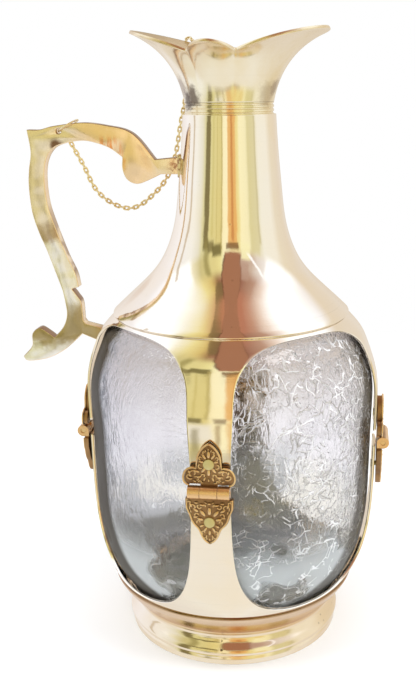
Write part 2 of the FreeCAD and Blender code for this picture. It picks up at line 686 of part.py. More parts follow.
def make_neck_seal():
    top = total(SEAM_Z, "Sizes.glass_neck_rise")
    height = "(%s - Sizes.seal_drop - Sizes.seal_tall)" % top
    radius = "%s - Sizes.brass_wall - Sizes.seal_fit" % neck_radius("%s - Sizes.seal_drop" % top)
    blank = cylinder("neck_seal_blank", radius, "Sizes.seal_tall", height)
    bore = cylinder("neck_seal_bore", "Sizes.glass_neck_radius + Sizes.seat_gap",
                    "Sizes.seal_tall + 2 * Sizes.cut_overrun", "%s - Sizes.cut_overrun" % height)
    return keep(cut("neck_seal_cut", blank, bore), "neck_seal")


# Handle, its collar, the jump ring.

HANDLE_END_SHARE = (HANDLE_OUTLINE_SHARES[2][0][1] + HANDLE_OUTLINE_SHARES[2][1][1]) / 2
HANDLE_END_Z = "(%s + Sizes.handle_tall * %.4f)" % (HANDLE_LOW_Z, HANDLE_END_SHARE)


def handle_near():
    return "(%s + Sizes.handle_standoff)" % neck_radius(HANDLE_END_Z)


def handle_point(shares):
    reach_share, up_share = shares
    across = -(value(handle_near()) + size("handle_reach") * reach_share)
    return Vector(across, 0, value(HANDLE_LOW_Z) + size("handle_tall") * up_share)


def make_jug_outside():
    """Everything inside the upper cage's and the bell's outer skin, as one solid."""
    outline = (
        (("0", UPPER_LOW_Z), ("Sizes.belly_radius", UPPER_LOW_Z)),
        upper_cage_poles(),
        bell_poles(),
        (("Sizes.neck_radius", RING_Z), ("0", RING_Z)),
        (("0", RING_Z), ("0", UPPER_LOW_Z)),
    )
    return spun_body("jug_outside", outline)


def make_handle():
    edges = []
    for stretch in HANDLE_OUTLINE_SHARES:
        points = [handle_point(shares) for shares in stretch]
        if len(points) == 2:
            edges.append(Part.makeLine(*points))
        else:
            curve = Part.BSplineCurve()
            curve.interpolate(points)
            edges.append(curve.toShape())
    outline = doc.addObject("Part::Feature", "handle_outline")
    outline.Shape = Part.Face(Part.Wire(edges))
    plate = doc.addObject("Part::Extrusion", "handle_plate")
    plate.Base = outline
    plate.Dir = Y_AXIS
    plate.Solid = True
    plate.Symmetric = True
    bind(plate, LengthFwd="Sizes.handle_thick")
    hole = doc.addObject("Part::Cylinder", "handle_ring_hole")
    centre = handle_point(HANDLE_HOLE_SHARES)
    hole.Placement = FreeCAD.Placement(centre, FreeCAD.Rotation(X_AXIS, 90))
    bind(hole, Radius="Sizes.handle_hole_radius", Height="Sizes.handle_thick + 2 * Sizes.cut_overrun")
    hole.setExpression("Placement.Base.y", "Sizes.handle_thick / 2 + Sizes.cut_overrun")
    tools = fuse("handle_tools", hole, make_jug_outside())
    return keep(cut("handle_cut", plate, tools), "handle")


def make_handle_collar(bell):
    box = doc.addObject("Part::Box", "handle_collar_blank")
    far = handle_near()
    near = "(%s - Sizes.seat_gap)" % neck_radius("%s + Sizes.handle_collar_tall / 2" % HANDLE_END_Z)
    bind(box, Length="%s - %s" % (far, near), Width="Sizes.handle_collar_thick",
         Height="Sizes.handle_collar_tall")
    box.setExpression("Placement.Base.x", "-" + far)
    box.setExpression("Placement.Base.y", "-Sizes.handle_collar_thick / 2")
    box.setExpression("Placement.Base.z", "%s - Sizes.handle_collar_tall / 2" % HANDLE_END_Z)
    return keep(cut("handle_collar_cut", box, bell), "handle_collar")


def ring_direction():
    tilt = math.radians(size("jump_ring_tilt"))
    return Vector(math.cos(tilt), 0, math.sin(tilt))


def jump_ring_centre():
    reach = size("jump_ring_radius") - size("jump_ring_seat")
    return handle_point(HANDLE_HOLE_SHARES) + ring_direction() * reach


def make_jump_ring():
    ring = doc.addObject("Part::Torus", "jump_ring_torus")
    centre = jump_ring_centre()
    ring.Placement = FreeCAD.Placement(centre, FreeCAD.Rotation(Y_AXIS, -size("jump_ring_tilt")))
    bind(ring, Radius1="Sizes.jump_ring_radius", Radius2="Sizes.jump_wire_radius")
    return keep(ring, "jump_ring")


# Hinges: a lobed upper leaf with the middle knuckle, a pointed lower leaf with the outer
# knuckles, a pin, and one rivet through each leaf and its strap.

HINGE_BACK = "(Sizes.belly_radius + Sizes.hinge_seat)"
HINGE_AXIS = total(HINGE_BACK, "Sizes.knuckle_radius")


def leaf_points(shares, tall, side):
    return [("%sSizes.leaf_half * %s" % (side, out_share), "%s * %s" % (tall, up_share))
            for out_share, up_share in shares]


def leaf_plate(name, stretches, turn):
    outline = upright_sketch(name + "_outline", stretches)
    plate = doc.addObject("Part::Extrusion", name + "_plate")
    plate.Base = outline
    plate.Dir = Vector(0, -1, 0)
    plate.Solid = True
    bind(plate, LengthFwd="Sizes.leaf_thick")
    angle = math.radians(turn)
    place(plate, turn=turn)
    plate.setExpression("Placement.Base.x", "%s * %.6f" % (HINGE_BACK, math.sin(angle)))
    plate.setExpression("Placement.Base.y", "-%s * %.6f" % (HINGE_BACK, math.cos(angle)))
    plate.setExpression("Placement.Base.z", HINGE_Z)
    return plate


def along_pin(name, radius, start, length, turn):
    rod = doc.addObject("Part::Cylinder", name)
    lying = FreeCAD.Rotation(Y_AXIS, 90)
    rod.Placement = FreeCAD.Placement(Vector(0, 0, 0), FreeCAD.Rotation(Z_AXIS, turn).multiply(lying))
    bind(rod, Radius=radius, Height=length)
    sine, cosine = math.sin(math.radians(turn)), math.cos(math.radians(turn))
    rod.setExpression("Placement.Base.x", "%s * %.6f + (%s) * %.6f" % (HINGE_AXIS, sine, start, cosine))
    rod.setExpression("Placement.Base.y", "(%s) * %.6f - %s * %.6f" % (start, sine, HINGE_AXIS, cosine))
    rod.setExpression("Placement.Base.z", HINGE_Z)
    return rod


def leaf_tools(name, rivet_height, turn):
    bore = along_pin(name + "_bore", "Sizes.hinge_pin_radius + Sizes.hinge_pin_fit", "-Sizes.leaf_half",
                     "2 * Sizes.leaf_half", turn)
    near = "(%s - Sizes.cut_overrun)" % HINGE_BACK
    far = "(%s + Sizes.leaf_thick + Sizes.cut_overrun)" % HINGE_BACK
    hole = radial_cylinder(name + "_rivet_hole", "Sizes.rivet_radius + Sizes.hinge_pin_fit", near, far,
                           rivet_height, turn)
    return fuse(name + "_tools", bore, hole)


def make_upper_leaf(side, turn):
    name = "hinge_upper_leaf_" + side
    tall = "Sizes.leaf_up_tall"
    stretches = []
    for sign in ("", "-"):
        arch = leaf_points(LEAF_UP_ARCH_SHARES, tall, sign)
        neck = leaf_points(LEAF_UP_NECK_SHARES, tall, sign)
        lobe = leaf_points(LEAF_UP_LOBE_SHARES, tall, sign)
        tab_top = (sign + "Sizes.middle_knuckle_half", lobe[-1][1])
        tab_low = (sign + "Sizes.middle_knuckle_half", "0")
        stretches += [arch, neck, lobe, (lobe[-1], tab_top), (tab_top, tab_low), (tab_low, ("0", "0"))]
    plate = leaf_plate(name, stretches, turn)
    knuckle = along_pin(name + "_knuckle", "Sizes.knuckle_radius", "-Sizes.middle_knuckle_half",
                        "2 * Sizes.middle_knuckle_half", turn)
    joined = fuse(name + "_blank", plate, knuckle)
    tools = leaf_tools(name, "%s + Sizes.rivet_up" % HINGE_Z, turn)
    return keep(cut(name + "_cut", joined, tools), name)


def make_lower_leaf(side, turn):
    name = "hinge_lower_leaf_" + side
    tall = "-Sizes.leaf_down_tall"
    inner = "(Sizes.middle_knuckle_half + Sizes.knuckle_play)"
    clear = "-(Sizes.knuckle_radius + Sizes.knuckle_play)"
    stretches = []
    for sign in ("", "-"):
        flank = leaf_points(LEAF_DOWN_SIDE_SHARES, tall, sign)
        tip = leaf_points(LEAF_DOWN_TIP_SHARES, tall, sign)
        notch_low = (sign + inner, clear)
        notch_up = (sign + inner, "0")
        shoulder_up = (sign + "Sizes.outer_knuckle_end", "0")
        shoulder_low = (sign + "Sizes.outer_knuckle_end", flank[0][1])
        stretches += [(("0", clear), notch_low), (notch_low, notch_up), (notch_up, shoulder_up),
                      (shoulder_up, shoulder_low), (shoulder_low, flank[0]), (flank[0], flank[1]),
                      (flank[1], flank[2]), tip]
    plate = leaf_plate(name, stretches, turn)
    length = "(Sizes.outer_knuckle_end - %s)" % inner
    right = along_pin(name + "_knuckle_right", "Sizes.knuckle_radius", inner, length, turn)
    left = along_pin(name + "_knuckle_left", "Sizes.knuckle_radius", "-Sizes.outer_knuckle_end", length, turn)
    joined = fuse(name + "_blank", plate, right, left)
    tools = leaf_tools(name, "%s - Sizes.rivet_down" % HINGE_Z, turn)
    return keep(cut(name + "_cut", joined, tools), name)


def make_hinge_pin(side, turn):
    half = "(Sizes.outer_knuckle_end - Sizes.hinge_pin_sink)"
    pin = along_pin("hinge_pin_rod_" + side, "Sizes.hinge_pin_radius", "-" + half, "2 * " + half, turn)
    return keep(pin, "hinge_pin_" + side)


def make_rivet(name, height, draw, turn):
    head_seat = total(HINGE_BACK, "Sizes.leaf_thick")
    tail_seat = "(Sizes.belly_radius - %s - Sizes.brass_wall - Sizes.seat_gap)" % draw
    shank = radial_cylinder(name + "_shank", "Sizes.rivet_radius", tail_seat, head_seat, height, turn)
    head = radial_cylinder(name + "_head", "Sizes.rivet_head_radius", head_seat,
                           total(head_seat, "Sizes.rivet_head_tall"), height, turn)
    tail = radial_cylinder(name + "_tail", "Sizes.rivet_tail_radius",
                           "(%s - Sizes.rivet_tail_tall)" % tail_seat, tail_seat, height, turn)
    return fuse(name, shank, head, tail)


def make_hinges():
    rivets = []
    for side, turn in SIDES:
        make_upper_leaf(side, turn)
        make_lower_leaf(side, turn)
        make_hinge_pin(side, turn)
        upper_z, lower_z = "%s + Sizes.rivet_up" % HINGE_Z, "%s - Sizes.rivet_down" % HINGE_Z
        rivets.append(make_rivet("upper_rivet_" + side, upper_z, "0", turn))
        rivets.append(make_rivet("lower_rivet_" + side, lower_z, "Sizes.strap_draw", turn))
    group = doc.addObject("Part::Compound", "hinge_rivet_group")
    group.Links = rivets
    keep(group, "hinge_rivets")


# Stopper: turned cap with knob and stud, cork, washer and a wire eye for the chain.

STOPPER_Z = total(MOUTH_Z, "Sizes.seat_gap")
KNOB_TOP_Z = "(%s + Sizes.cap_flange_thick + Sizes.cap_dome_tall + Sizes.knob_tall)" % STOPPER_Z
EYE_Z = "(%s + Sizes.eye_radius + Sizes.eye_wire_radius + Sizes.seat_gap)" % KNOB_TOP_Z


def make_stopper_cap():
    flange = "Sizes.cap_flange_thick"
    dome = total(flange, "Sizes.cap_dome_tall")
    top = total(dome, "Sizes.knob_tall")
    stud_low = "-(Sizes.cork_tall + Sizes.washer_thick)"
    edge = "Sizes.cap_radius"
    stem = "Sizes.cap_stem_radius"
    knob = "Sizes.knob_radius"
    stud = "Sizes.stud_radius"
    outline = (
        (("0", stud_low), (stud, stud_low)),
        ((stud, stud_low), (stud, "0")),
        ((stud, "0"), (edge, "0")),
        ((edge, "0"), (edge, flange)),
        ((edge, flange), (between(edge, stem, 0.35), between(flange, dome, 0.75)),
         (between(edge, stem, 0.75), between(flange, dome, 0.45)), (stem, dome)),
        ((stem, dome), (knob, between(dome, top, 0.12)), (between(stem, knob, 1.35), between(dome, top, 0.62)),
         (between(stem, knob, 0.60), top), ("0", top)),
        (("0", top), ("0", stud_low)),
    )
    body = spun_body("stopper_cap_body", outline)
    body.setExpression("Placement.Base.z", STOPPER_Z)
    hole = cylinder("stopper_eye_hole", "Sizes.eye_wire_radius + Sizes.seat_gap",
                    "Sizes.eye_shank_long + Sizes.cut_overrun",
                    "%s + %s - Sizes.eye_shank_long" % (STOPPER_Z, top))
    return keep(cut("stopper_cap_cut", body, hole), "stopper_cap")


def make_stopper_cork():
    cone = doc.addObject("Part::Cone", "stopper_cork_blank")
    bind(cone, Radius1="Sizes.cork_low_radius", Radius2="Sizes.cork_top_radius", Height="Sizes.cork_tall")
    height = "%s - Sizes.cork_tall" % STOPPER_Z
    place(cone, height)
    bore = cylinder("stopper_cork_bore", "Sizes.stud_radius + Sizes.seat_gap",
                    "Sizes.cork_tall + 2 * Sizes.cut_overrun", "%s - Sizes.cut_overrun" % height)
    return keep(cut("stopper_cork_cut", cone, bore), "stopper_cork")


def make_stopper_washer():
    height = "%s - Sizes.cork_tall - Sizes.washer_thick" % STOPPER_Z
    disc = cylinder("stopper_washer_disc", "Sizes.washer_radius", "Sizes.washer_thick", height)
    bore = cylinder("stopper_washer_bore", "Sizes.stud_radius + Sizes.seat_gap",
                    "Sizes.washer_thick + 2 * Sizes.cut_overrun", "%s - Sizes.cut_overrun" % height)
    return keep(cut("stopper_washer_cut", disc, bore), "stopper_washer")


def make_stopper_eye():
    loop = doc.addObject("Part::Torus", "stopper_eye_loop")
    across = Z_AXIS.cross(lip_direction())
    loop.Placement = FreeCAD.Placement(Vector(0, 0, 0), FreeCAD.Rotation(Z_AXIS, across))
    bind(loop, Radius1="Sizes.eye_radius", Radius2="Sizes.eye_wire_radius")
    loop.setExpression("Placement.Base.z", EYE_Z)
    low = "(%s - Sizes.eye_shank_long + Sizes.seat_gap)" % KNOB_TOP_Z
    shank = cylinder("stopper_eye_shank", "Sizes.eye_wire_radius",
                     "%s - Sizes.eye_radius - %s" % (EYE_Z, low), low)
    return keep(fuse("stopper_eye_wire", loop, shank), "stopper_eye")


# Chain: separate oval links along a route from the jump ring to the stopper's eye.

def lip_step():
    return (CHAIN_LIP_TURN - (90.0 - size("mouth_turn"))) / 360.0 * FUNNEL_STEPS


def lip_direction():
    return mouth_point(1.0, 0.0, lip_step())


def lip_point(share, depth, past=0.0):
    step = lip_step()
    low, high = math.floor(step), math.ceil(step)
    mix = step - low
    points = []
    for near, far in zip(mouth_meridian(low), mouth_meridian(high)):
        points.append((near[0] + (far[0] - near[0]) * mix, near[1] + (far[1] - near[1]) * mix))
    curve = Part.BezierCurve()
    curve.setPoles([Vector(radius, 0, up) for radius, up in points])
    along = curve.tangent(share)[0]
    inward = Vector(-along.z, 0, along.x)
    point = curve.value(share) + inward * depth + along * past
    return mouth_point(point.x, point.z, step)


def route_point(shares):
    far = value(handle_near()) + size("handle_reach")
    tall = value(MOUTH_Z) + size("funnel_tall")
    return Vector(-far * shares[0], far * shares[1], tall * shares[2])


def chain_start():
    half = size("handle_thick") / 2 + size("link_inner_wide") / 2 + 3 * size("link_wire_radius")
    back = math.sqrt(size("jump_ring_radius") ** 2 - half ** 2)
    wire = jump_ring_centre() - ring_direction() * back + Vector(0, half, 0)
    strand = ring_direction() * half + Y_AXIS * back
    first = route_point(CHAIN_HANG_SHARES[0])
    pull = first - wire
    pull.normalize()
    reach = size("link_inner_long") / 2 - size("jump_wire_radius") - size("link_play") / 2
    return wire + pull * reach, strand


def chain_end():
    wire = Vector(0, 0, value(EYE_Z)) + lip_direction() * size("eye_radius")
    reach = size("link_inner_long") / 2 - size("eye_wire_radius") - size("link_play") / 2
    return wire + lip_direction() * reach, Z_AXIS


def chain_route():
    clear = size("chain_clear")
    wall = size("funnel_wall")
    start, end = chain_start()[0], chain_end()[0]
    points = [start]
    points += [route_point(shares) for shares in CHAIN_HANG_SHARES + CHAIN_RISE_SHARES]
    points.append(lip_point(CHAIN_OUTSIDE_LIP_SHARE, -clear))
    bend = wall / 2 + size("chain_lip_clear")
    for turn in (45, 90, 135):
        lean = math.radians(turn)
        points.append(lip_point(1.0, wall / 2 - bend * math.cos(lean), bend * math.sin(lean)))
    points += [lip_point(share, wall + clear) for share in CHAIN_INSIDE_LIP_SHARES]
    link = size("link_inner_long")
    points += [end + lip_direction() * (3 * link), end + lip_direction() * link]
    route = Part.BSplineCurve()
    route.interpolate(points + [end])
    return route


def make_link():
    wire = size("link_wire_radius")
    bend = size("link_inner_wide") / 2 + wire
    straight = size("link_inner_long") - size("link_inner_wide")
    pieces = []
    for side in (1, -1):
        start = Vector(-straight / 2, side * bend, 0)
        pieces.append(Part.makeCylinder(wire, straight, start, X_AXIS))
        turn = Part.makeTorus(bend, wire, Vector(0, 0, 0), Z_AXIS, 0, 360, 180)
        turn.rotate(Vector(0, 0, 0), Z_AXIS, -90 * side)
        turn.translate(Vector(side * straight / 2, 0, 0))
        pieces.append(turn)
    return pieces[0].multiFuse(pieces[1:]).removeSplitter()


def link_places(route):
    length = route.length()
    count = int(round(length / (size("link_inner_long") - size("link_play"))))
    places = []
    side = None
    for number in range(count + 1):
        parameter = route.parameterAtDistance(length * min(1.0, number / count), route.FirstParameter)
        along = route.tangent(parameter)[0]
        if side is None:
            side = along.cross(chain_start()[1])
        side = side - along * side.dot(along)
        side.normalize()
        places.append((route.value(parameter), along, Vector(side)))
    print("chain: %d links, pitch %.3f mm, length %.1f mm" % (len(places), length / count, length))
    return places


def last_twist(places):
    along, side = places[-1][1:]
    wanted = along.cross(chain_end()[1])
    turn = math.degrees(math.atan2(side.cross(wanted).dot(along), side.dot(wanted)))
    turn -= 90.0 * (len(places) - 1)
    return (turn + 90.0) % 180.0 - 90.0


def make_chain():
    places = link_places(chain_route())
    twist = last_twist(places)
    link = make_link()
    groups = {"chain_handle_side": [], "chain_stopper_side": []}
    lowest = min(range(len(places)), key=lambda number: places[number][0].z)
    for number, (point, along, side) in enumerate(places):
        turn = 90.0 * number + twist * number / (len(places) - 1)
        side = FreeCAD.Rotation(along, turn).multVec(side)
        frame = FreeCAD.Rotation(along, side, Vector(0, 0, 0), "XYZ")
        copy = link.copy()
        copy.Placement = FreeCAD.Placement(point, frame)
        group = "chain_handle_side" if number <= lowest else "chain_stopper_side"
        groups[group].append(copy)
    for name, links in groups.items():
        feature = doc.addObject("Part::Feature", name + "_links")
        feature.Shape = Part.makeCompound(links)
        keep(feature, name)


def build():
    fill_sheet()
    make_foot_ring()
    make_base_disc()
    lower_shell, lower_cage = make_lower_cage()
    make_foot_collar(lower_shell)
    make_upper_cage()
    bell = make_neck_bell()
    make_neck_ring()
    make_mouth_funnel()
    make_glass_vessel()
    make_glass_pad()
    make_neck_seal()
    make_handle()
    make_handle_collar(bell)
    make_jump_ring()
    make_hinges()
    make_stopper_cap()
    make_stopper_cork()
    make_stopper_washer()
    make_stopper_eye()
    make_chain()
    doc.recompute()


def check():
    for thing in doc.Objects:
        if "Invalid" in thing.State or "Error" in thing.State:
            raise RuntimeError("%s is %s" % (thing.Name, thing.State))
    for part in sub_parts:
        if part.Shape.isNull() or not part.Shape.isValid():
            raise RuntimeError("%s has no valid shape" % part.Label)
        if not part.Shape.Solids:
            raise RuntimeError("%s has no solid" % part.Label)


def export():
    os.makedirs("parts", exist_ok=True)
    for part in sub_parts:
        box = part.Shape.BoundBox
        print("%-30s %3d solids %10.1f mm3  x %.1f..%.1f  y %.1f..%.1f  z %.1f..%.1f" % (
            part.Label, len(part.Shape.Solids), part.Shape.Volume, box.XMin, box.XMax, box.YMin, box.YMax,
            box.ZMin, box.ZMax))
        part.Shape.exportStep(os.path.join("parts", part.Label + ".step"))


build()
check()
export()
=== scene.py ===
import math

import bpy
from mathutils import Matrix, Vector


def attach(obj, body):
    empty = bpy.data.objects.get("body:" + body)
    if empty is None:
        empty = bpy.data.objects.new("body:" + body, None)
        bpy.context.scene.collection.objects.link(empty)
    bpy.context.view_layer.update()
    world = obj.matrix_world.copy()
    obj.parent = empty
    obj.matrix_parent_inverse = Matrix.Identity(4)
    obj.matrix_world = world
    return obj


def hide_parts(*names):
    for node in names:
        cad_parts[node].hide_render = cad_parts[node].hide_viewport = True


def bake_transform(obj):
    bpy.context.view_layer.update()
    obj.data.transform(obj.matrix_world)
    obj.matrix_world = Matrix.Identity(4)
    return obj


# Brass jug: spun neck and cage, crackled glass, cast handle, ornamented hinges, chained stopper.
# Sizes are written in millimetres and turned into metres by MM. The origin is the centre of
# the foot, +Z is up, +X the pouring side, the handle is on -X and a strap of the cage faces -Y.

MM = 0.001
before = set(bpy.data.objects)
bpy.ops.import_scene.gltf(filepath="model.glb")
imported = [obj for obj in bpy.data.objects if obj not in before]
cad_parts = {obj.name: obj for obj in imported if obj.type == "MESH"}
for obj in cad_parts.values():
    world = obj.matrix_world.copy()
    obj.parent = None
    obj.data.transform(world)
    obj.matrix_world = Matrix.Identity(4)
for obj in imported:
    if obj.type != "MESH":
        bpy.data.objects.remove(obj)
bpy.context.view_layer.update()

TURN_STEPS = 160
FINE_STEPS = 192
BRASS_WALL = 1.3
STRAP_END_LOW = 99.0
STRAP_END_HIGH = 107.0
RING_Z = 259.0
RING_RADIUS = 20.95
MOUTH_Z = 264.5
HINGE_Z = 100.9
HINGE_BACK = 73.35
LINK_SWELL = 0.11
SMOOTH_BELOW = 35
WELD = 0.002

LOWER_CAGE_POLES = ((48, 17), (54.6, 17), (61.9, 30.6), (68.7, 43.2), (72.5, 64.6), (72.7, 82), (73, 99))
UPPER_CAGE_POLES = ((73, 107), (73.3, 118.5), (74, 134), (66.5, 152), (65.2, 156.7), (57, 164.6))
BELL_POLES = ((57, 164.6), (48.8, 172.5), (36.9, 182.6), (29.6, 194.3), (24.8, 209.4), (23.5, 225.9),
              (21.4, 245), (20.7, 259))


# Small tools

def deselect():
    if bpy.context.object and bpy.context.object.mode != "OBJECT":
        bpy.ops.object.mode_set(mode="OBJECT")
    bpy.ops.object.select_all(action="DESELECT")


def pick(*pieces):
    deselect()
    for piece in pieces:
        piece.select_set(True)
    bpy.context.view_layer.objects.active = pieces[0]


def edit(piece):
    pick(piece)
    bpy.ops.object.mode_set(mode="EDIT")
    bpy.ops.mesh.select_mode(type="VERT")
    bpy.ops.mesh.select_all(action="SELECT")


def leave_edit():
    bpy.ops.object.mode_set(mode="OBJECT")


def tidy(piece, angle=SMOOTH_BELOW, merge=WELD):
    edit(piece)
    bpy.ops.mesh.remove_doubles(threshold=merge * MM)
    bpy.ops.mesh.normals_make_consistent(inside=False)
    leave_edit()
    return smooth(piece, angle)


def smooth(piece, angle=SMOOTH_BELOW):
    pick(piece)
    bpy.ops.object.shade_smooth_by_angle(angle=math.radians(angle))
    return piece


def face_outward(piece):
    """Turns an open sheet's faces away from the axis."""
    total = sum(polygon.area * (polygon.normal.x * polygon.center.x + polygon.normal.y * polygon.center.y)
                for polygon in piece.data.polygons)
    if total < 0:
        edit(piece)
        bpy.ops.mesh.flip_normals()
        leave_edit()


def apply_modifier(piece, kind, **settings):
    pick(piece)
    modifier = piece.modifiers.new(kind.lower(), kind)
    for key, value in settings.items():
        setattr(modifier, key, value)
    bpy.ops.object.modifier_apply(modifier=modifier.name)


def bevel(piece, width, segments=2, angle=50, **settings):
    apply_modifier(piece, "BEVEL", width=width * MM, segments=segments, limit_method="ANGLE",
                   angle_limit=math.radians(angle), **settings)


def join(name, pieces):
    pick(*pieces)
    if len(pieces) > 1:
        bpy.ops.object.join()
    piece = bpy.context.object
    piece.name = name
    piece.data.name = name
    return piece


def new_object(name, data):
    made = bpy.data.objects.new(name, data)
    bpy.context.scene.collection.objects.link(made)
    return made


def settle(piece):
    pick(piece)
    bpy.ops.object.transform_apply(location=True, rotation=True, scale=True)
    return piece


def paint(piece, *materials):
    piece.data.materials.clear()
    for material in materials:
        piece.data.materials.append(material)


def from_solid(node, name, angle=SMOOTH_BELOW):
    made = new_object(name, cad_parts[node].data.copy())
    paint(made)
    edit(made)
    bpy.ops.mesh.remove_doubles(threshold=WELD * MM)
    leave_edit()
    return smooth(made, angle)


def dress(piece, body, slot, node, *materials):
    """Hangs a piece on its body in place of a node, with its finishes where it has none yet."""
    if materials:
        paint(piece, *materials)
    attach(piece, body)
    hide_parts(node)


# Curves

def spline(poles, count):
    """Points of the cubic curve that the poles pull, from the first pole to the last."""
    degree = 3
    spans = len(poles) - degree
    knots = [0.0] * degree + [float(i) for i in range(spans + 1)] + [float(spans)] * degree
    points = []
    for step in range(count + 1):
        t = min(spans - 1e-9, spans * step / count)
        k = int(t) + degree
        work = [Vector(poles[j]) for j in range(k - degree, k + 1)]
        for level in range(1, degree + 1):
            for j in range(degree, level - 1, -1):
                low = knots[j + k - degree]
                high = knots[j + 1 + k - level]
                mix = (t - low) / (high - low)
                work[j] = work[j - 1] * (1 - mix) + work[j] * mix
        points.append(work[degree])
    return points


def through(points, count):
    """A smooth line through the points, with count steps from each to the next."""
    ends = [2 * Vector(points[0]) - Vector(points[1])] + [Vector(p) for p in points]
    ends.append(2 * Vector(points[-1]) - Vector(points[-2]))
    made = []
    for i in range(1, len(ends) - 2):
        a, b, c, d = ends[i - 1], ends[i], ends[i + 1], ends[i + 2]
        for step in range(count):
            t = step / count
            made.append(0.5 * (2 * b + (c - a) * t + (2 * a - 5 * b + 4 * c - d) * t * t
                               + (3 * b - a - 3 * c + d) * t * t * t))
    made.append(ends[-2])
    return made


def offset(points, depth):
    """The line moved to its left by depth."""
    moved = []
    for i, point in enumerate(points):
        before, after = points[max(i - 1, 0)], points[min(i + 1, len(points) - 1)]
        along = (after - before).normalized()
        moved.append(point + Vector((-along.y, along.x)) * depth)
    return moved


def read_radius(points, z):
    """The radius of a profile at a height, or of its nearer end beyond it."""
    for a, b in zip(points, points[1:]):
        if min(a.y, b.y) <= z <= max(a.y, b.y) and a.y != b.y:
            return a.x + (b.x - a.x) * (z - a.y) / (b.y - a.y)
    return min(points[0], points[-1], key=lambda end: abs(z - end.y)).x


# Turned pieces: one corner of a plane is drawn out along the section and spun round the axis.

def turned(name, section, steps=TURN_STEPS, angle=35, closed=True):
    deselect()
    bpy.ops.mesh.primitive_plane_add(size=MM)
    piece = bpy.context.object
    piece.name = name
    edit(piece)
    bpy.ops.mesh.merge(type="CENTER")
    bpy.ops.transform.translate(value=(section[0][0] * MM, 0, section[0][1] * MM))
    points = list(section) + ([section[0]] if closed else [])
    for a, b in zip(points, points[1:]):
        bpy.ops.mesh.extrude_vertices_move(
            TRANSFORM_OT_translate={"value": ((b[0] - a[0]) * MM, 0, (b[1] - a[1]) * MM)})
    bpy.ops.mesh.select_all(action="SELECT")
    bpy.ops.mesh.spin(steps=steps, dupli=False, angle=2 * math.pi, center=(0, 0, 0), axis=(0, 0, 1))
    leave_edit()
    return tidy(piece, angle)


def round_corner(before, corner, after, radius, steps=3):
    a = (Vector(before) - Vector(corner)).normalized()
    b = (Vector(after) - Vector(corner)).normalized()
    start, end = Vector(corner) + a * radius, Vector(corner) + b * radius
    made = []
    for step in range(steps + 1):
        t = step / steps
        made.append(start * (1 - t) ** 2 + Vector(corner) * 2 * t * (1 - t) + end * t * t)
    return made


def shell_section(outer, wall, edge):
    inner = offset(outer, wall)
    middle_low, middle_high = (outer[0] + inner[0]) / 2, (outer[-1] + inner[-1]) / 2
    low = round_corner(inner[1], inner[0], middle_low, edge)
    low += round_corner(middle_low, outer[0], outer[1], edge)
    high = round_corner(outer[-2], outer[-1], middle_high, edge)
    high += round_corner(middle_high, inner[-1], inner[-2], edge)
    return low + outer[1:-1] + high + list(reversed(inner[1:-1]))


# Studio: a pale floor that fades out, a white room that the brass sees as bands and shapes of
# colour, and two soft lamps overhead.

# Pitch and roll are in radians, the turn is in degrees, and the pixels are the photo's.
CAMERA_DISTANCE = 445.256
CAMERA_HEIGHT = 270.601
FOCAL_PIXELS = 922.047
CAMERA_PITCH = 0.26601238
CAMERA_ROLL = -0.00933913
CAMERA_TURN = 7.86
AXIS_PIXEL_X = 231.424
AXIS_PIXEL_Y = 339.601
PHOTO_WIDE = 416
PHOTO_TALL = 687


def make_camera():
    data = bpy.data.cameras.new("camera")
    camera = new_object("camera", data)
    data.sensor_fit = "VERTICAL"
    data.sensor_height = 36.0
    data.lens = FOCAL_PIXELS / PHOTO_TALL * data.sensor_height
    data.shift_x = -(AXIS_PIXEL_X - PHOTO_WIDE / 2) / PHOTO_TALL
    data.shift_y = (AXIS_PIXEL_Y - PHOTO_TALL / 2) / PHOTO_TALL
    data.clip_start = 0.01
    data.clip_end = 30.0
    pitch, roll, turn = CAMERA_PITCH, CAMERA_ROLL, math.radians(CAMERA_TURN)
    forward = Vector((0, math.cos(pitch), -math.sin(pitch)))
    right, up = Vector((1, 0, 0)), Vector((0, math.sin(pitch), math.cos(pitch)))
    rolled_right = right * math.cos(roll) + up * math.sin(roll)
    rolled_up = up * math.cos(roll) - right * math.sin(roll)
    basis = Matrix((rolled_right, rolled_up, -forward)).transposed().to_4x4()
    place = Matrix.Translation(Vector((0, -CAMERA_DISTANCE * MM, CAMERA_HEIGHT * MM)))
    camera.matrix_world = Matrix.Rotation(turn, 4, "Z") @ place @ basis
    bpy.context.scene.camera = camera


def opaque(colour):
    """A colour with its fourth number; a socket stays as it is."""
    if isinstance(colour, bpy.types.NodeSocket) or len(colour) == 4:
        return colour
    return tuple(colour) + (1.0,)


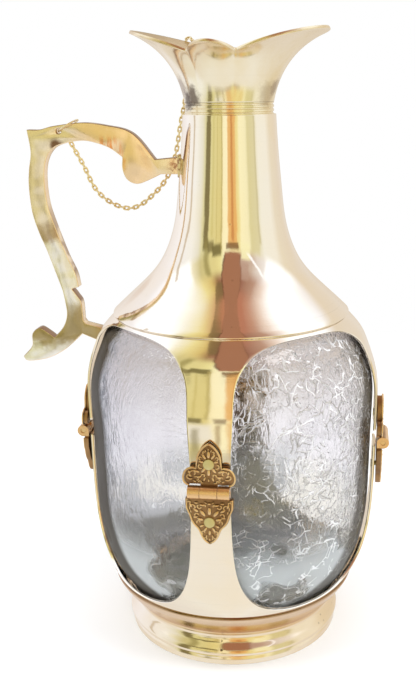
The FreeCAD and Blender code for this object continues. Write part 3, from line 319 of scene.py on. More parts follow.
class Nodes:
    """A short way to write a node tree. A value is a number, a colour or another node's socket."""

    def __init__(self, tree):
        self.tree = tree

    def fill(self, made, inputs):
        for key, value in inputs.items():
            socket = made.inputs[key]
            if isinstance(value, bpy.types.NodeSocket):
                self.tree.links.new(value, socket)
            else:
                socket.default_value = value
        return made

    def add(self, kind, inputs=None, **settings):
        made = self.tree.nodes.new(kind)
        for key, value in settings.items():
            setattr(made, key, value)
        return self.fill(made, inputs or {})

    def math(self, operation, *values):
        return self.add("ShaderNodeMath", dict(enumerate(values)), operation=operation).outputs[0]

    def times(self, first, *others):
        for other in others:
            first = self.math("MULTIPLY", first, other)
        return first

    def plus(self, a, b):
        return self.math("ADD", a, b)

    def minus(self, a, b):
        return self.math("SUBTRACT", a, b)

    def larger(self, a, b):
        return self.math("MAXIMUM", a, b)

    def vector(self, operation, a, b=(0, 0, 0)):
        made = self.add("ShaderNodeVectorMath", {0: a, 1: b}, operation=operation)
        return made.outputs["Value" if operation in ("DISTANCE", "LENGTH") else "Vector"]

    def split(self, place):
        return self.add("ShaderNodeSeparateXYZ", {0: place}).outputs

    def ramp(self, factor, stops):
        made = self.add("ShaderNodeValToRGB", {"Fac": factor})
        elements = made.color_ramp.elements
        while len(elements) < len(stops):
            elements.new(0.5)
        for element, (place, colour) in zip(elements, stops):
            element.position = place
            element.color = opaque(colour)
        return made.outputs["Color"]

    def step(self, value, low, high):
        return self.add("ShaderNodeMapRange", {"Value": value, "From Min": low, "From Max": high},
                        interpolation_type="SMOOTHSTEP").outputs["Result"]

    def mix(self, factor, a, b, blend="MIX"):
        return self.add("ShaderNodeMix", {0: factor, 6: opaque(a), 7: opaque(b)}, data_type="RGBA",
                        blend_type=blend).outputs[2]

    def coords(self, scale=(1, 1, 1), source="Object", turn=(0, 0, 0)):
        place = self.add("ShaderNodeTexCoord").outputs[source]
        return self.add("ShaderNodeMapping", {"Vector": place, "Scale": scale, "Rotation": turn}).outputs[0]

    def noise(self, coords, scale, detail=3.0, rough=0.55, bend=0.0, output="Fac"):
        return self.add("ShaderNodeTexNoise", {"Vector": coords, "Scale": scale, "Detail": detail,
                                               "Roughness": rough, "Distortion": bend}).outputs[output]

    def cells(self, coords, scale, feature="F1"):
        return self.add("ShaderNodeTexVoronoi", {"Vector": coords, "Scale": scale, "Randomness": 1.0},
                        feature=feature).outputs["Distance"]

    def bump(self, height, distance, **below):
        inputs = {"Height": height, "Distance": distance, "Strength": 1.0}
        inputs.update(below)
        return self.add("ShaderNodeBump", inputs).outputs["Normal"]

    def over(self, share, below, above):
        """The shader above covers its share of the one below."""
        return self.add("ShaderNodeMixShader", {0: share, 1: below.outputs[0], 2: above.outputs[0]})


# What the polished brass mirrors, by direction: azimuth in degrees from the camera's side, and
# elevation. The colours are those wanted on the brass, so each is divided by the brass's own.

CHAMPAGNE = (0.86, 0.77, 0.67)
CHAMPAGNE_WARM = (0.87, 0.76, 0.62)
BACKDROP = (1.0, 1.0, 1.0)
ROOM_WHITE = (0.97, 0.975, 0.985)
ROOM_LIGHT = 0.90
ROOM_WOBBLE = 0.020
FLOOR_WHITE = (0.93, 0.935, 0.94, 1.0)
FLOOR_REACH = 1.2
FLOOR_FADE = (0.18, 0.62)
LAMPS_AIM_Z = 170.0
# Each lamp: name, turn from the camera's side and lift in degrees, distance, width, height, power.
LAMPS = (
    ("lamp_right", 62, 56, 1.1, 0.5, 0.5, 7.0),
    ("lamp_left", -66, 60, 1.1, 0.45, 0.5, 6.0),
)
PALE = (248, 242, 240)
BLOWN = (275, 275, 275)
LOW_ROOM = (
    (-180, (206, 186, 158)), (-166, (222, 204, 184)), (-150, (238, 226, 216)), (-120, PALE),
    (-104, (246, 240, 234)), (-80, (246, 240, 228)), (-66, (234, 226, 204)), (-58, (222, 212, 160)),
    (-44, (226, 213, 150)), (-19, (222, 204, 134)), (-15, (252, 238, 190)), (-5, (254, 242, 196)),
    (0, (244, 214, 150)), (11, (238, 208, 138)), (18, (240, 222, 152)), (22, (252, 240, 190)),
    (36, (248, 236, 188)), (42, (228, 217, 166)), (60, (232, 222, 186)), (68, (244, 236, 216)),
    (94, (244, 235, 216)), (108, (232, 217, 190)), (132, (228, 211, 186)), (155, (226, 210, 190)),
    (170, (214, 192, 164)),
)
MIDDLE_ROOM = (
    (-180, (214, 194, 168)), (-160, (232, 220, 206)), (-135, PALE), (-112, BLOWN), (-84, BLOWN),
    (-76, (240, 230, 196)), (-60, (206, 192, 134)), (-46, (222, 208, 142)), (-30, (226, 210, 142)),
    (-20, (236, 222, 152)), (-14, (250, 240, 190)), (16, (250, 238, 186)), (20, (196, 164, 142)),
    (42, (206, 180, 158)), (52, (226, 210, 194)), (66, (240, 230, 220)), (74, BLOWN), (114, BLOWN),
    (128, PALE), (155, (236, 222, 208)), (168, (222, 202, 180)),
)
HIGH_ROOM = (
    (-180, (226, 206, 184)), (-140, PALE), (-108, BLOWN), (-88, (252, 246, 228)),
    (-66, (238, 220, 150)), (-48, (218, 190, 116)), (-38, (186, 150, 94)), (-31, (152, 110, 72)),
    (-25, (160, 108, 84)), (6, (164, 110, 88)), (26, (158, 108, 86)), (34, (168, 122, 98)),
    (56, (188, 148, 124)), (76, (238, 216, 200)), (92, BLOWN), (124, PALE),
)
CEILING = (
    (-180, (222, 184, 152)), (-70, (214, 168, 122)), (-40, (190, 128, 92)), (40, (186, 122, 94)),
    (80, (214, 170, 142)),
)
TABLE = (
    (-180, (222, 204, 184)), (-60, (240, 230, 212)), (0, (240, 228, 208)), (60, (242, 232, 216)),
)
# Furniture and windows in that room: colour, azimuths, elevations, how soft the edges are, how far
# the shape leans sideways for each degree up, and how strong it is.
ROOM_SHAPES = (
    ((104, 88, 48), (-57, -46), (-30, 27), 2.2, 0.05, 0.85),
    ((150, 136, 78), (-53, -43), (20, 54), 4.0, 0.10, 0.75),
    ((116, 102, 56), (-46, -34), (22, 30), 2.0, 0.0, 0.80),
    ((104, 92, 48), (-36, -18), (25, 34), 2.0, 0.0, 0.85),
    ((178, 158, 92), (-20, -17), (-3, 30), 1.0, 0.0, 0.60),
    ((190, 170, 96), (-30, -28), (-2, 24), 1.2, 0.0, 0.55),
    ((200, 184, 110), (-40, -36), (-4, 20), 2.0, 0.02, 0.50),
    ((232, 174, 100), (-5, 13), (-3, 27), 2.0, 0.0, 0.85),
    ((196, 126, 70), (2, 7), (-1, 24), 1.5, 0.05, 0.70),
    ((122, 86, 52), (-10, 16), (25, 29.5), 1.2, 0.0, 0.85),
    ((128, 104, 66), (-46, -18), (63, 78), 3.0, -1.50, 0.85),
    ((166, 114, 84), (-12, 16), (32, 92), 2.0, 0.0, 1.0),
    ((166, 114, 84), (-20, 0), (32, 82), 2.0, -0.32, 1.0),
    ((166, 114, 84), (2, 23), (32, 82), 2.0, 0.18, 1.0),
    ((104, 66, 46), (-21, -18), (34, 78), 1.2, -0.32, 0.70),
    ((118, 78, 60), (21, 23), (34, 78), 1.0, 0.18, 0.55),
    ((188, 152, 130), (22, 38), (40, 62), 3.0, 0.30, 0.75),
    ((250, 240, 186), (20, 38), (24, 37), 2.0, 0.0, 0.90),
    ((216, 202, 146), (40, 58), (-28, 30), 3.0, 0.05, 0.60),
    ((190, 174, 118), (57, 62), (-26, 22), 1.5, 0.05, 0.50),
    ((270, 266, 262), (49, 55), (32, 52), 2.0, 1.7, 0.85),
    ((196, 172, 138), (-101, -96), (-6, 40), 1.2, -0.42, 0.75),
    ((208, 176, 150), (-150, -146), (4, 34), 1.6, 0.8, 0.45),
    ((88, 76, 42), (-33, -22), (-7, -2), 1.2, 0.0, 0.75),
    ((112, 80, 56), (-14, -4), (-7, -2), 1.2, 0.0, 0.70),
    ((240, 232, 218), (-40, -15), (-21, -8), 3.0, 0.0, 0.85),
    ((96, 68, 44), (-36, 20), (-29, -24), 2.0, 0.0, 0.55),
    ((120, 108, 58), (-31, -25), (-24, -12), 2.0, 0.15, 0.60),
    ((138, 98, 58), (-13, -9), (-26, -8), 1.5, 0.10, 0.60),
    ((226, 176, 112), (-4, 8), (-24, -6), 2.0, 0.0, 0.60),
    ((230, 200, 120), (20, 32), (-26, 0), 2.0, 0.0, 0.70),
)


def linear(value):
    value = value / 255.0
    return value / 12.92 if value <= 0.04045 else ((value + 0.055) / 1.055) ** 2.4


def wanted_on_brass(colour):
    return tuple(linear(value) / base for value, base in zip(colour, CHAMPAGNE))


def make_world():
    world = bpy.data.worlds.new("studio")
    bpy.context.scene.world = world
    world.use_nodes = True
    world.node_tree.nodes.clear()
    nodes = Nodes(world.node_tree)
    direction = nodes.coords(source="Generated", turn=(0, 0, -math.radians(CAMERA_TURN)))
    side, back, up = nodes.split(direction)
    azimuth = nodes.math("ARCTAN2", side, nodes.times(back, -1.0))
    wobble = nodes.times(nodes.minus(nodes.noise(direction, 5.0, 4.0), 0.5), ROOM_WOBBLE)
    turn = nodes.plus(nodes.math("MULTIPLY_ADD", azimuth, 0.5 / math.pi, 0.5), wobble)
    elevation = nodes.times(nodes.math("ARCSINE", up), 180 / math.pi)
    elevation = nodes.plus(elevation, nodes.times(wobble, 90.0))
    degrees = nodes.times(nodes.minus(turn, 0.5), 360.0)

    def band(stops):
        closed = stops + ((180, stops[0][1]),)
        return nodes.ramp(turn, [(0.5 + at / 360.0, wanted_on_brass(colour)) for at, colour in closed])

    def within(value, limits, soft):
        return nodes.times(nodes.step(value, limits[0] - soft, limits[0] + soft),
                           nodes.step(value, limits[1] + soft, limits[1] - soft))

    room = band(LOW_ROOM)
    for low, high, stops in ((26.0, 36.0, MIDDLE_ROOM), (46.0, 64.0, HIGH_ROOM), (68.0, 80.0, CEILING)):
        room = nodes.mix(nodes.step(elevation, low, high), room, band(stops))
    for colour, across, height, soft, lean, strength in ROOM_SHAPES:
        leant = nodes.times(nodes.minus(elevation, (height[0] + height[1]) / 2), lean)
        inside = within(nodes.minus(degrees, leant), across, soft)
        shape = nodes.times(inside, within(elevation, height, soft), strength)
        room = nodes.mix(shape, room, wanted_on_brass(colour))
    room = nodes.mix(nodes.step(elevation, -22.0, -32.0), room, band(TABLE))
    rays = nodes.add("ShaderNodeLightPath").outputs
    plain, seen, shown = (
        nodes.add("ShaderNodeBackground", {"Color": opaque(colour), "Strength": strength})
        for colour, strength in ((ROOM_WHITE, ROOM_LIGHT), (BACKDROP, 1.0), (room, 1.0)))
    mixed = nodes.over(nodes.larger(rays["Is Camera Ray"], rays["Is Transmission Ray"]), plain, seen)
    nodes.add("ShaderNodeOutputWorld", {0: nodes.over(rays["Is Glossy Ray"], mixed, shown).outputs[0]})


def new_finish(name, **settings):
    """A material, its nodes and its shader with the settings whose name is that of a socket."""
    material = bpy.data.materials.new(name)
    material.use_nodes = True
    nodes = Nodes(material.node_tree)
    shader = material.node_tree.nodes["Principled BSDF"]
    nodes.fill(shader, {key.replace("_", " "): value for key, value in settings.items()})
    return material, nodes, shader


def finish_with(material, nodes, mixed):
    nodes.fill(material.node_tree.nodes["Material Output"], {0: mixed.outputs[0]})


def make_floor():
    deselect()
    bpy.ops.mesh.primitive_circle_add(vertices=96, radius=FLOOR_REACH, fill_type="NGON")
    floor = bpy.context.object
    floor.name = "studio_floor"
    material, nodes, shader = new_finish("studio_floor", Base_Color=FLOOR_WHITE, Roughness=0.9,
                                         Specular_IOR_Level=0.1)
    away = nodes.vector("LENGTH", nodes.coords())
    clear = nodes.add("ShaderNodeBsdfTransparent")
    finish_with(material, nodes, nodes.over(nodes.step(away, *FLOOR_FADE), shader, clear))
    paint(floor, material)
    floor.visible_glossy = False


def make_lamp(name, turn, lift, distance, wide, tall, power):
    data = bpy.data.lights.new(name, "AREA")
    data.shape = "RECTANGLE"
    data.size = wide
    data.size_y = tall
    data.energy = power
    lamp = new_object(name, data)
    turn, lift = math.radians(turn + CAMERA_TURN), math.radians(lift)
    away = Vector((math.sin(turn) * math.cos(lift), -math.cos(turn) * math.cos(lift), math.sin(lift)))
    lamp.location = Vector((0, 0, LAMPS_AIM_Z * MM)) + away * distance
    lamp.rotation_euler = away.to_track_quat("Z", "Y").to_euler()
    lamp.visible_glossy = False


# Finishes. Scales are per metre and rises are in metres, as the shaders take them.

LINES_AROUND = (3.0, 3.0, 900.0)
LINES_ALONG = (260.0, 260.0, 18.0)
PIT_COLOUR = (0.12, 0.08, 0.05)
WAVE_RISE = 0.0011
LINE_RISE = 0.00002


def brass(name, colour, second, polish, haze, marks=0.3, wobble=0.2, pits=0.0, patina_and_shade=None, around=True):
    """Brass of two colours in clouds. polish and haze are its least and most roughness; marks,
    wobble and pits are how strong the turning lines, the waves and the dark pits are."""
    material, nodes, shader = new_finish(name, Metallic=1.0)
    place = nodes.coords()
    cloud = nodes.noise(place, 32.0, 5.0, 0.6, 0.4)
    tone = nodes.mix(nodes.step(cloud, 0.34, 0.68), colour, second)
    stretch = LINES_AROUND if around else LINES_ALONG
    lines = nodes.noise(nodes.coords(scale=stretch), 1.0, 3.0, 0.6)
    streak = nodes.step(lines, 0.55, 0.80)
    tone = nodes.mix(nodes.times(streak, 0.16), tone, tuple(v * 0.72 for v in second))
    rough = nodes.plus(nodes.times(cloud, haze - polish), polish)
    rough = nodes.plus(rough, nodes.times(streak, 0.05))
    height = nodes.times(lines, marks)
    if pits:
        rare = nodes.step(nodes.noise(place, 60.0, 3.0), 0.60, 0.72)
        spot = nodes.times(nodes.step(nodes.cells(place, 210.0), 0.16, 0.07), rare, pits)
        tone = nodes.mix(spot, tone, PIT_COLOUR)
        rough = nodes.larger(rough, nodes.times(spot, 0.6))
        height = nodes.minus(height, nodes.times(spot, 3.0))
    if patina_and_shade:
        tone, rough, height = patina_and_shade(nodes, place, tone, rough, height)
    fine = nodes.noise(place, 900.0, 2.0, 0.6)
    swell = nodes.bump(nodes.noise(place, 42.0, 2.0, 0.5), WAVE_RISE * wobble)
    relief = nodes.bump(nodes.plus(height, nodes.times(fine, 0.25)), LINE_RISE, Normal=swell)
    nodes.fill(shader, {"Base Color": tone, "Roughness": rough, "Normal": relief})
    return material


GLASS_TINTS = ((0.83, 0.81, 0.74), (0.955, 0.975, 0.99))
GLASS_LOW_TINT = (0.855, 0.842, 0.866)
GLASS_HANDLE_SIDE_TINT = (0.91, 0.91, 0.92)
GLASS_LOW_ZONE = (0.078, 0.052)
# Painted shade where the glass turns away from view: its colour, and the facing over which it comes in.
GLASS_SHADE_COLOUR = (0.050, 0.040, 0.028, 1.0)
GLASS_SHADE_FACING = (0.610, 0.690)
CRACK_COLOUR = (0.98, 0.98, 0.98, 1.0)
# Painted light, pale blue, in patches low in the glass.
GLASS_LIGHT_COLOUR = (0.84, 0.89, 0.91, 1.0)
CRACK_BEND = 0.018
# Strokes of the crackle: cells per metre, width as a share of a cell, scale of where they break off.
STROKES = ((105.0, 0.036, 95.0), (160.0, 0.050, 120.0))


def crackle(nodes, place):
    """White strokes along the edges of bent cells, broken off in places."""
    warp = nodes.noise(place, 60.0, 2.0, 0.5, output="Color")
    bent = nodes.vector("SUBTRACT", warp, (0.5, 0.5, 0.5))
    bent = nodes.vector("ADD", place, nodes.vector("MULTIPLY", bent, (CRACK_BEND, CRACK_BEND, CRACK_BEND)))
    strokes = []
    for scale, width, cut in STROKES:
        edges = nodes.cells(bent, scale, "DISTANCE_TO_EDGE")
        kept = nodes.step(nodes.noise(place, cut, 2.0), 0.51, 0.56)
        strokes.append(nodes.times(nodes.step(edges, width, width * 0.25), kept))
    return nodes.larger(*strokes)


def glass_finish():
    """Clear glass with white strokes, painted light in pale patches low down and a painted shade line where
    it curves away.
    """
    material, nodes, shader = new_finish("crackled_glass", Transmission_Weight=1.0, IOR=1.42)
    place = nodes.coords()
    side, _, height = nodes.split(place)
    cloud = nodes.noise(place, 34.0, 2.0)
    low = nodes.step(height, *GLASS_LOW_ZONE)
    tint = nodes.mix(nodes.step(cloud, 0.45, 0.50), *GLASS_TINTS)
    tint = nodes.mix(low, GLASS_LOW_TINT, tint)
    tint = nodes.mix(nodes.step(side, -0.012, -0.040), tint, GLASS_HANDLE_SIDE_TINT, "MULTIPLY")
    contour = nodes.times(nodes.step(cloud, 0.462, 0.470), nodes.step(cloud, 0.482, 0.474))
    contour = nodes.times(contour, nodes.times(low, 0.55))
    patch = nodes.noise(place, 26.0, 3.0)
    dense = nodes.step(nodes.plus(patch, nodes.times(side, 7.0)), 0.22, 0.80)
    crack = nodes.times(crackle(nodes, place), nodes.plus(nodes.times(dense, 0.72), 0.14))
    crack = nodes.larger(crack, contour)
    dimple = nodes.times(nodes.noise(place, 150.0, 2.0), nodes.plus(nodes.times(dense, 0.22), 0.26))
    scratch = nodes.noise(nodes.coords(scale=(520.0, 520.0, 110.0), turn=(0.35, -0.45, 0)), 1.0, 3.0, 0.6)
    scratch = nodes.times(nodes.step(scratch, 0.50, 0.72), 0.45)
    swell = nodes.bump(nodes.noise(place, 26.0, 2.0), 0.0010)
    relief = nodes.bump(nodes.plus(nodes.plus(crack, dimple), scratch), 0.00012, Normal=swell)
    rough = nodes.plus(nodes.times(crack, 0.08), 0.012)
    nodes.fill(shader, {"Base Color": tint, "Normal": relief, "Roughness": rough})
    bright = nodes.add("ShaderNodeBsdfDiffuse", {"Color": CRACK_COLOUR, "Roughness": 0.3})
    mixed = nodes.over(nodes.times(nodes.math("POWER", crack, 2.0), 0.85), shader, bright)
    # Painted light: pale blue patches low down.
    glass_light = nodes.add("ShaderNodeBsdfDiffuse", {"Color": GLASS_LIGHT_COLOUR})
    mixed = nodes.over(nodes.times(low, nodes.step(cloud, 0.48, 0.52), 0.36), mixed, glass_light)
    # Painted shade: a dark band where the glass turns away from view, stronger towards the handle.
    grazing = nodes.add("ShaderNodeLayerWeight", {"Blend": 0.5}).outputs["Facing"]
    outline = nodes.times(nodes.step(grazing, *GLASS_SHADE_FACING), nodes.minus(0.82, nodes.times(side, 1.4)))
    glass_shade = nodes.add("ShaderNodeBsdfPrincipled", {"Base Color": GLASS_SHADE_COLOUR, "Roughness": 0.6,
                                                  "Specular IOR Level": 0.05})
    finish_with(material, nodes, nodes.over(outline, mixed, glass_shade))
    return material


def plain_finish(name, colour, second, roughness, scale, depth):
    material, nodes, shader = new_finish(name, Roughness=roughness)
    grain = nodes.noise(nodes.coords(), scale, 5.0, 0.65)
    tone = nodes.mix(nodes.step(grain, 0.35, 0.65), colour, second)
    nodes.fill(shader, {"Base Color": tone, "Normal": nodes.bump(grain, depth)})
    return material


# Patinas, and painted shade on the collar and the handle's edges: each takes and returns the
# tone, the roughness and the height of a finish.

GRIME = (0.075, 0.042, 0.018)
RUBBED = (0.80, 0.52, 0.28)
# Colours down the handle: the height where each starts, the height where it is full, the colour.
HANDLE_ZONES = (
    (0.232, 0.222, (0.88, 0.75, 0.62)),
    (0.211, 0.205, (0.52, 0.39, 0.27)),
    (0.201, 0.196, (0.88, 0.82, 0.78)),
    (0.172, 0.160, (0.44, 0.34, 0.19)),
    (0.150, 0.144, (0.88, 0.84, 0.82)),
)
BULB = (0.96, 0.68, 0.44)
HEAT = (0.88, 0.36, 0.12)
HEAT_PLACE = (-0.0600, 0.0, 0.2400)
ARM_END = (0.34, 0.15, 0.10)
SCUFF = (0.20, 0.11, 0.06)
SCUFF_PLACE = (-0.0835, 0.0, 0.2445)
# Painted shade on the handle's edges that face up.
EDGE_SHADE = (0.22, 0.10, 0.05)
# Painted shade low on the collar, and a painted shadow line along its top against the bowl.
COLLAR_LOW_SHADE = (0.55, 0.31, 0.15)
COLLAR_TOP_SHADOW = (0.36, 0.22, 0.12)
MOUTH_GOLD = (0.84, 0.72, 0.48)
# Stains at the mouth: centre, reach, strength, colour.
MOUTH_STAINS = (
    ((-0.0140, -0.0160, 0.2674), 0.0060, 0.85, (0.14, 0.10, 0.08)),
    ((-0.0180, -0.0115, 0.2650), 0.0056, 0.85, (0.14, 0.10, 0.08)),
    ((-0.0198, -0.0085, 0.2725), 0.0066, 0.60, (0.30, 0.22, 0.18)),
    ((0.0200, -0.0105, 0.2680), 0.0085, 0.50, (0.34, 0.24, 0.15)),
    ((0.0240, -0.0060, 0.2710), 0.0060, 0.55, (0.30, 0.21, 0.14)),
    ((-0.0335, -0.0205, 0.2865), 0.0055, 0.60, (0.22, 0.14, 0.08)),
)


def old_crevices(nodes, place, tone, rough, height):
    """Grime in the hollows of the relief."""
    hollow = nodes.add("ShaderNodeAmbientOcclusion", {"Distance": 0.0022}, samples=8, only_local=True)
    uneven = nodes.times(nodes.minus(nodes.noise(place, 700.0, 3.0, 0.6), 0.5), 0.30)
    dark = nodes.step(nodes.plus(hollow.outputs["AO"], uneven), 0.90, 0.50)
    tone = nodes.mix(nodes.times(dark, 0.90), tone, GRIME)
    return tone, nodes.larger(rough, nodes.times(dark, 0.7)), height


def leaf_ground(nodes, place, tone, rough, height):
    """Dark and pitted behind the relief, brighter where the knuckles are rubbed."""
    away = nodes.math("ABSOLUTE", nodes.minus(nodes.split(place)[2], HINGE_Z * MM))
    rubbed = nodes.step(away, 0.0031, 0.0024)
    tone = nodes.mix(rubbed, tone, RUBBED)
    rough = nodes.minus(rough, nodes.times(rubbed, 0.18))
    cast = nodes.noise(place, 1500.0, 2.0, 0.6)
    return tone, rough, nodes.plus(height, nodes.times(cast, 4.0))


def handle_wear(nodes, place, tone, rough, height):
    x, _, z = nodes.split(place)
    patch = nodes.minus(nodes.noise(place, 70.0, 4.0, 0.6), 0.5)

    def uneven(value, reach):
        return nodes.plus(value, nodes.times(patch, reach))

    up, along = uneven(z, 0.020), uneven(x, 0.020)
    for start, full, colour in HANDLE_ZONES:
        tone = nodes.mix(nodes.step(up, start, full), tone, colour)
    bulb = nodes.times(nodes.step(along, -0.082, -0.062), nodes.step(up, 0.215, 0.228),
                       nodes.step(along, -0.034, -0.044))
    tone = nodes.mix(nodes.times(bulb, 0.80), tone, BULB)
    heat = nodes.step(uneven(nodes.vector("DISTANCE", place, HEAT_PLACE), 0.010), 0.0130, 0.0060)
    streak = nodes.noise(nodes.coords(scale=(480.0, 40.0, 90.0), turn=(0, 0.75, 0)), 1.0, 4.0, 0.65)
    tone = nodes.mix(nodes.times(heat, nodes.step(streak, 0.44, 0.60)), tone, HEAT)
    end = nodes.step(uneven(x, 0.006), -0.0310, -0.0265)
    spots = nodes.step(nodes.noise(place, 640.0, 3.0, 0.7), 0.46, 0.56)
    tone = nodes.mix(nodes.times(end, nodes.times(spots, 0.8)), tone, ARM_END)
    scuff = uneven(nodes.vector("DISTANCE", place, SCUFF_PLACE), 0.006)
    tone = nodes.mix(nodes.step(scuff, 0.0050, 0.0030), tone, SCUFF)
    brushed = nodes.noise(nodes.coords(scale=(900.0, 40.0, 260.0), turn=(0, 0.7, 0)), 1.0, 3.0)
    rough = nodes.plus(rough, nodes.times(brushed, 0.08))
    return tone, rough, nodes.plus(height, nodes.times(brushed, 1.2))


def edge_painted_shade(nodes, place, tone, rough, height):
    """Painted shade, dark in patches on the handle's edges that face up, and all over near the neck."""
    facing_up = nodes.split(nodes.add("ShaderNodeNewGeometry").outputs["Normal"])[2]
    shade_patches = nodes.step(nodes.noise(place, 55.0, 3.0, 0.6), 0.62, 0.50)
    near_neck = nodes.step(nodes.split(place)[0], -0.072, -0.060)
    dark = nodes.larger(nodes.times(shade_patches, nodes.step(facing_up, 0.10, 0.45)),
                        nodes.times(near_neck, nodes.step(facing_up, 0.10, 0.55)))
    return nodes.mix(nodes.times(dark, 0.85), tone, EDGE_SHADE), rough, height


def collar_painted_shade(nodes, place, tone, rough, height):
    # Painted shade: darker towards the foot, and a painted shadow line along the top edge.
    z = nodes.split(place)[2]
    patch = nodes.times(nodes.minus(nodes.noise(place, 60.0, 4.0, 0.6), 0.5), 0.006)
    low = nodes.step(nodes.plus(z, patch), 0.0245, 0.0190)
    tone = nodes.mix(nodes.times(low, 0.85), tone, COLLAR_LOW_SHADE)
    rim = nodes.step(z, 0.0286, 0.0294)
    return nodes.mix(nodes.times(rim, 0.6), tone, COLLAR_TOP_SHADOW), rough, height


def mouth_stain(nodes, place, tone, rough, height):
    patch = nodes.noise(place, 150.0, 4.0, 0.7)
    golden = nodes.step(nodes.plus(nodes.split(place)[2], nodes.times(patch, 0.008)), 0.2800, 0.2690)
    tone = nodes.mix(nodes.times(golden, 0.35), tone, MOUTH_GOLD)
    uneven = nodes.times(nodes.minus(patch, 0.5), 0.010)
    for centre, reach, strength, colour in MOUTH_STAINS:
        away = nodes.plus(nodes.vector("DISTANCE", place, centre), uneven)
        spot = nodes.times(nodes.step(away, reach, reach * 0.35), strength)
        tone = nodes.mix(spot, tone, colour)
        rough = nodes.larger(rough, nodes.times(spot, 0.5))
    return tone, rough, height


neck_brass = brass("neck_brass", CHAMPAGNE, CHAMPAGNE_WARM, 0.025, 0.08, marks=0.25, wobble=0.10, pits=0.35)
mouth_brass = brass("mouth_brass", (0.84, 0.75, 0.60), (0.81, 0.69, 0.48), 0.10, 0.20, marks=0.5,
                    wobble=0.5, pits=0.4, patina_and_shade=mouth_stain)
mouth_inside = brass("mouth_inside", (0.66, 0.52, 0.32), (0.50, 0.36, 0.18), 0.20, 0.36, marks=0.6,
                     wobble=0.6, pits=0.6)
rim_brass = brass("mouth_rim", (0.84, 0.70, 0.48), (0.62, 0.46, 0.26), 0.22, 0.36, marks=2.5, wobble=0.5,
                  around=False)
edge_brass = brass("window_edge", (0.40, 0.28, 0.15), (0.15, 0.09, 0.05), 0.30, 0.46, marks=2.5, wobble=0.5,
                   around=False)
cage_brass = brass("cage_brass", CHAMPAGNE, CHAMPAGNE_WARM, 0.03, 0.10, wobble=0.12, pits=0.4)
foot_brass = brass("foot_brass", (0.84, 0.72, 0.58), (0.82, 0.66, 0.48), 0.06, 0.14, marks=0.4, wobble=0.25,
                   pits=0.9)
# The collar's pink-brown, darker than the cage's brass, is partly the brass's own warmer, duller tone and
# partly painted shade of the cove between bowl and foot.
collar_bronze = brass("collar_bronze", (0.76, 0.58, 0.42), (0.70, 0.50, 0.34), 0.14, 0.26, marks=0.8,
                      wobble=0.3, pits=0.8, patina_and_shade=collar_painted_shade)
handle_brass = brass("handle_brass", (0.90, 0.78, 0.62), (0.84, 0.69, 0.52), 0.12, 0.22, marks=0.8,
                     wobble=1.6, pits=0.5, patina_and_shade=handle_wear, around=False)
# The edges' brass is paler than the face's, a painted highlight on the chamfers; those facing up also get
# painted shade.
handle_edge = brass("handle_edge", (0.96, 0.82, 0.64), (0.88, 0.66, 0.44), 0.14, 0.26, marks=0.6, wobble=1.0,
                    pits=0.5, patina_and_shade=edge_painted_shade, around=False)
hinge_brass = brass("hinge_brass", (0.86, 0.62, 0.36), (0.66, 0.42, 0.20), 0.16, 0.30, marks=0.6, wobble=0.6,
                    pits=0.5, patina_and_shade=old_crevices, around=False)
hinge_ground = brass("hinge_ground", (0.42, 0.25, 0.12), (0.24, 0.13, 0.06), 0.34, 0.46, marks=0.6,
                     wobble=0.6, pits=0.5, patina_and_shade=leaf_ground, around=False)
rivet_brass = brass("rivet_brass", (0.72, 0.62, 0.32), (0.60, 0.52, 0.26), 0.24, 0.36, marks=0.5, wobble=0.3)
chain_brass = brass("chain_brass", (0.90, 0.78, 0.52), (0.76, 0.60, 0.36), 0.16, 0.26)
glass = glass_finish()
cork = plain_finish("cork", (0.55, 0.36, 0.19), (0.36, 0.21, 0.10), 0.85, 380.0, 0.0004)
# The felt is paler than its own dark green, as painted light for the glass floor it shows through.
felt = plain_finish("felt", (0.36, 0.42, 0.40), (0.28, 0.34, 0.31), 1.0, 1500.0, 0.0003)


# Neck, foot and collar

RING_INSIDE = 18.4
GROOVES_UP = (0.9, 2.75, 4.6)
GROOVE_DEEP = 0.45
FOOT_FLOOR_RADIUS = 53.9
FOOT_BORE = 52.4
FOOT_BAND_TALL = 4.4
FOOT_STEPS = ((0, 2.2), (-0.05, 4.0), (-0.25, FOOT_BAND_TALL), (0.1, 4.65))
FOOT_TOP = (46, 17)
FOOT_WEB_Z = 15.5
FOOT_SWELL = ((54.4, 4.9), (55.5, 6.2), (54.0, 8.9), (51.2, 11.5), (51.1, 14.8), (53.0, 17))
FOOT_INSIDE = ((50.4, 15.5), (49.6, 14.8), (49.7, 11.5), (52.4, 8.9), (54.0, 6.2), (52.4, 4.4))
COLLAR_OUTSIDE = ((53.2, 17.0), (55.6, 20.0), (61.3, 26.1), (62.2, 29.6))
COLLAR_OFF_BOWL = 0.12


def make_neck_bell():
    section = shell_section(spline(BELL_POLES, 54), -BRASS_WALL, 0.22)
    piece = turned("shoulder_and_neck", section, FINE_STEPS)
    dress(piece, "root", "neck_brass", "neck_bell", neck_brass)


def make_neck_ring():
    section = [(RING_INSIDE, RING_Z), (RING_RADIUS, RING_Z)]
    for up in GROOVES_UP:
        for turn in range(0, 181, 30):
            lean = math.radians(turn)
            section.append((RING_RADIUS - GROOVE_DEEP * math.sin(lean),
                            RING_Z + up - GROOVE_DEEP * math.cos(lean)))
    section += [(RING_RADIUS, MOUTH_Z), (RING_INSIDE, MOUTH_Z)]
    dress(turned("grooved_ring", section), "root", "neck_brass", "neck_ring", mouth_brass)


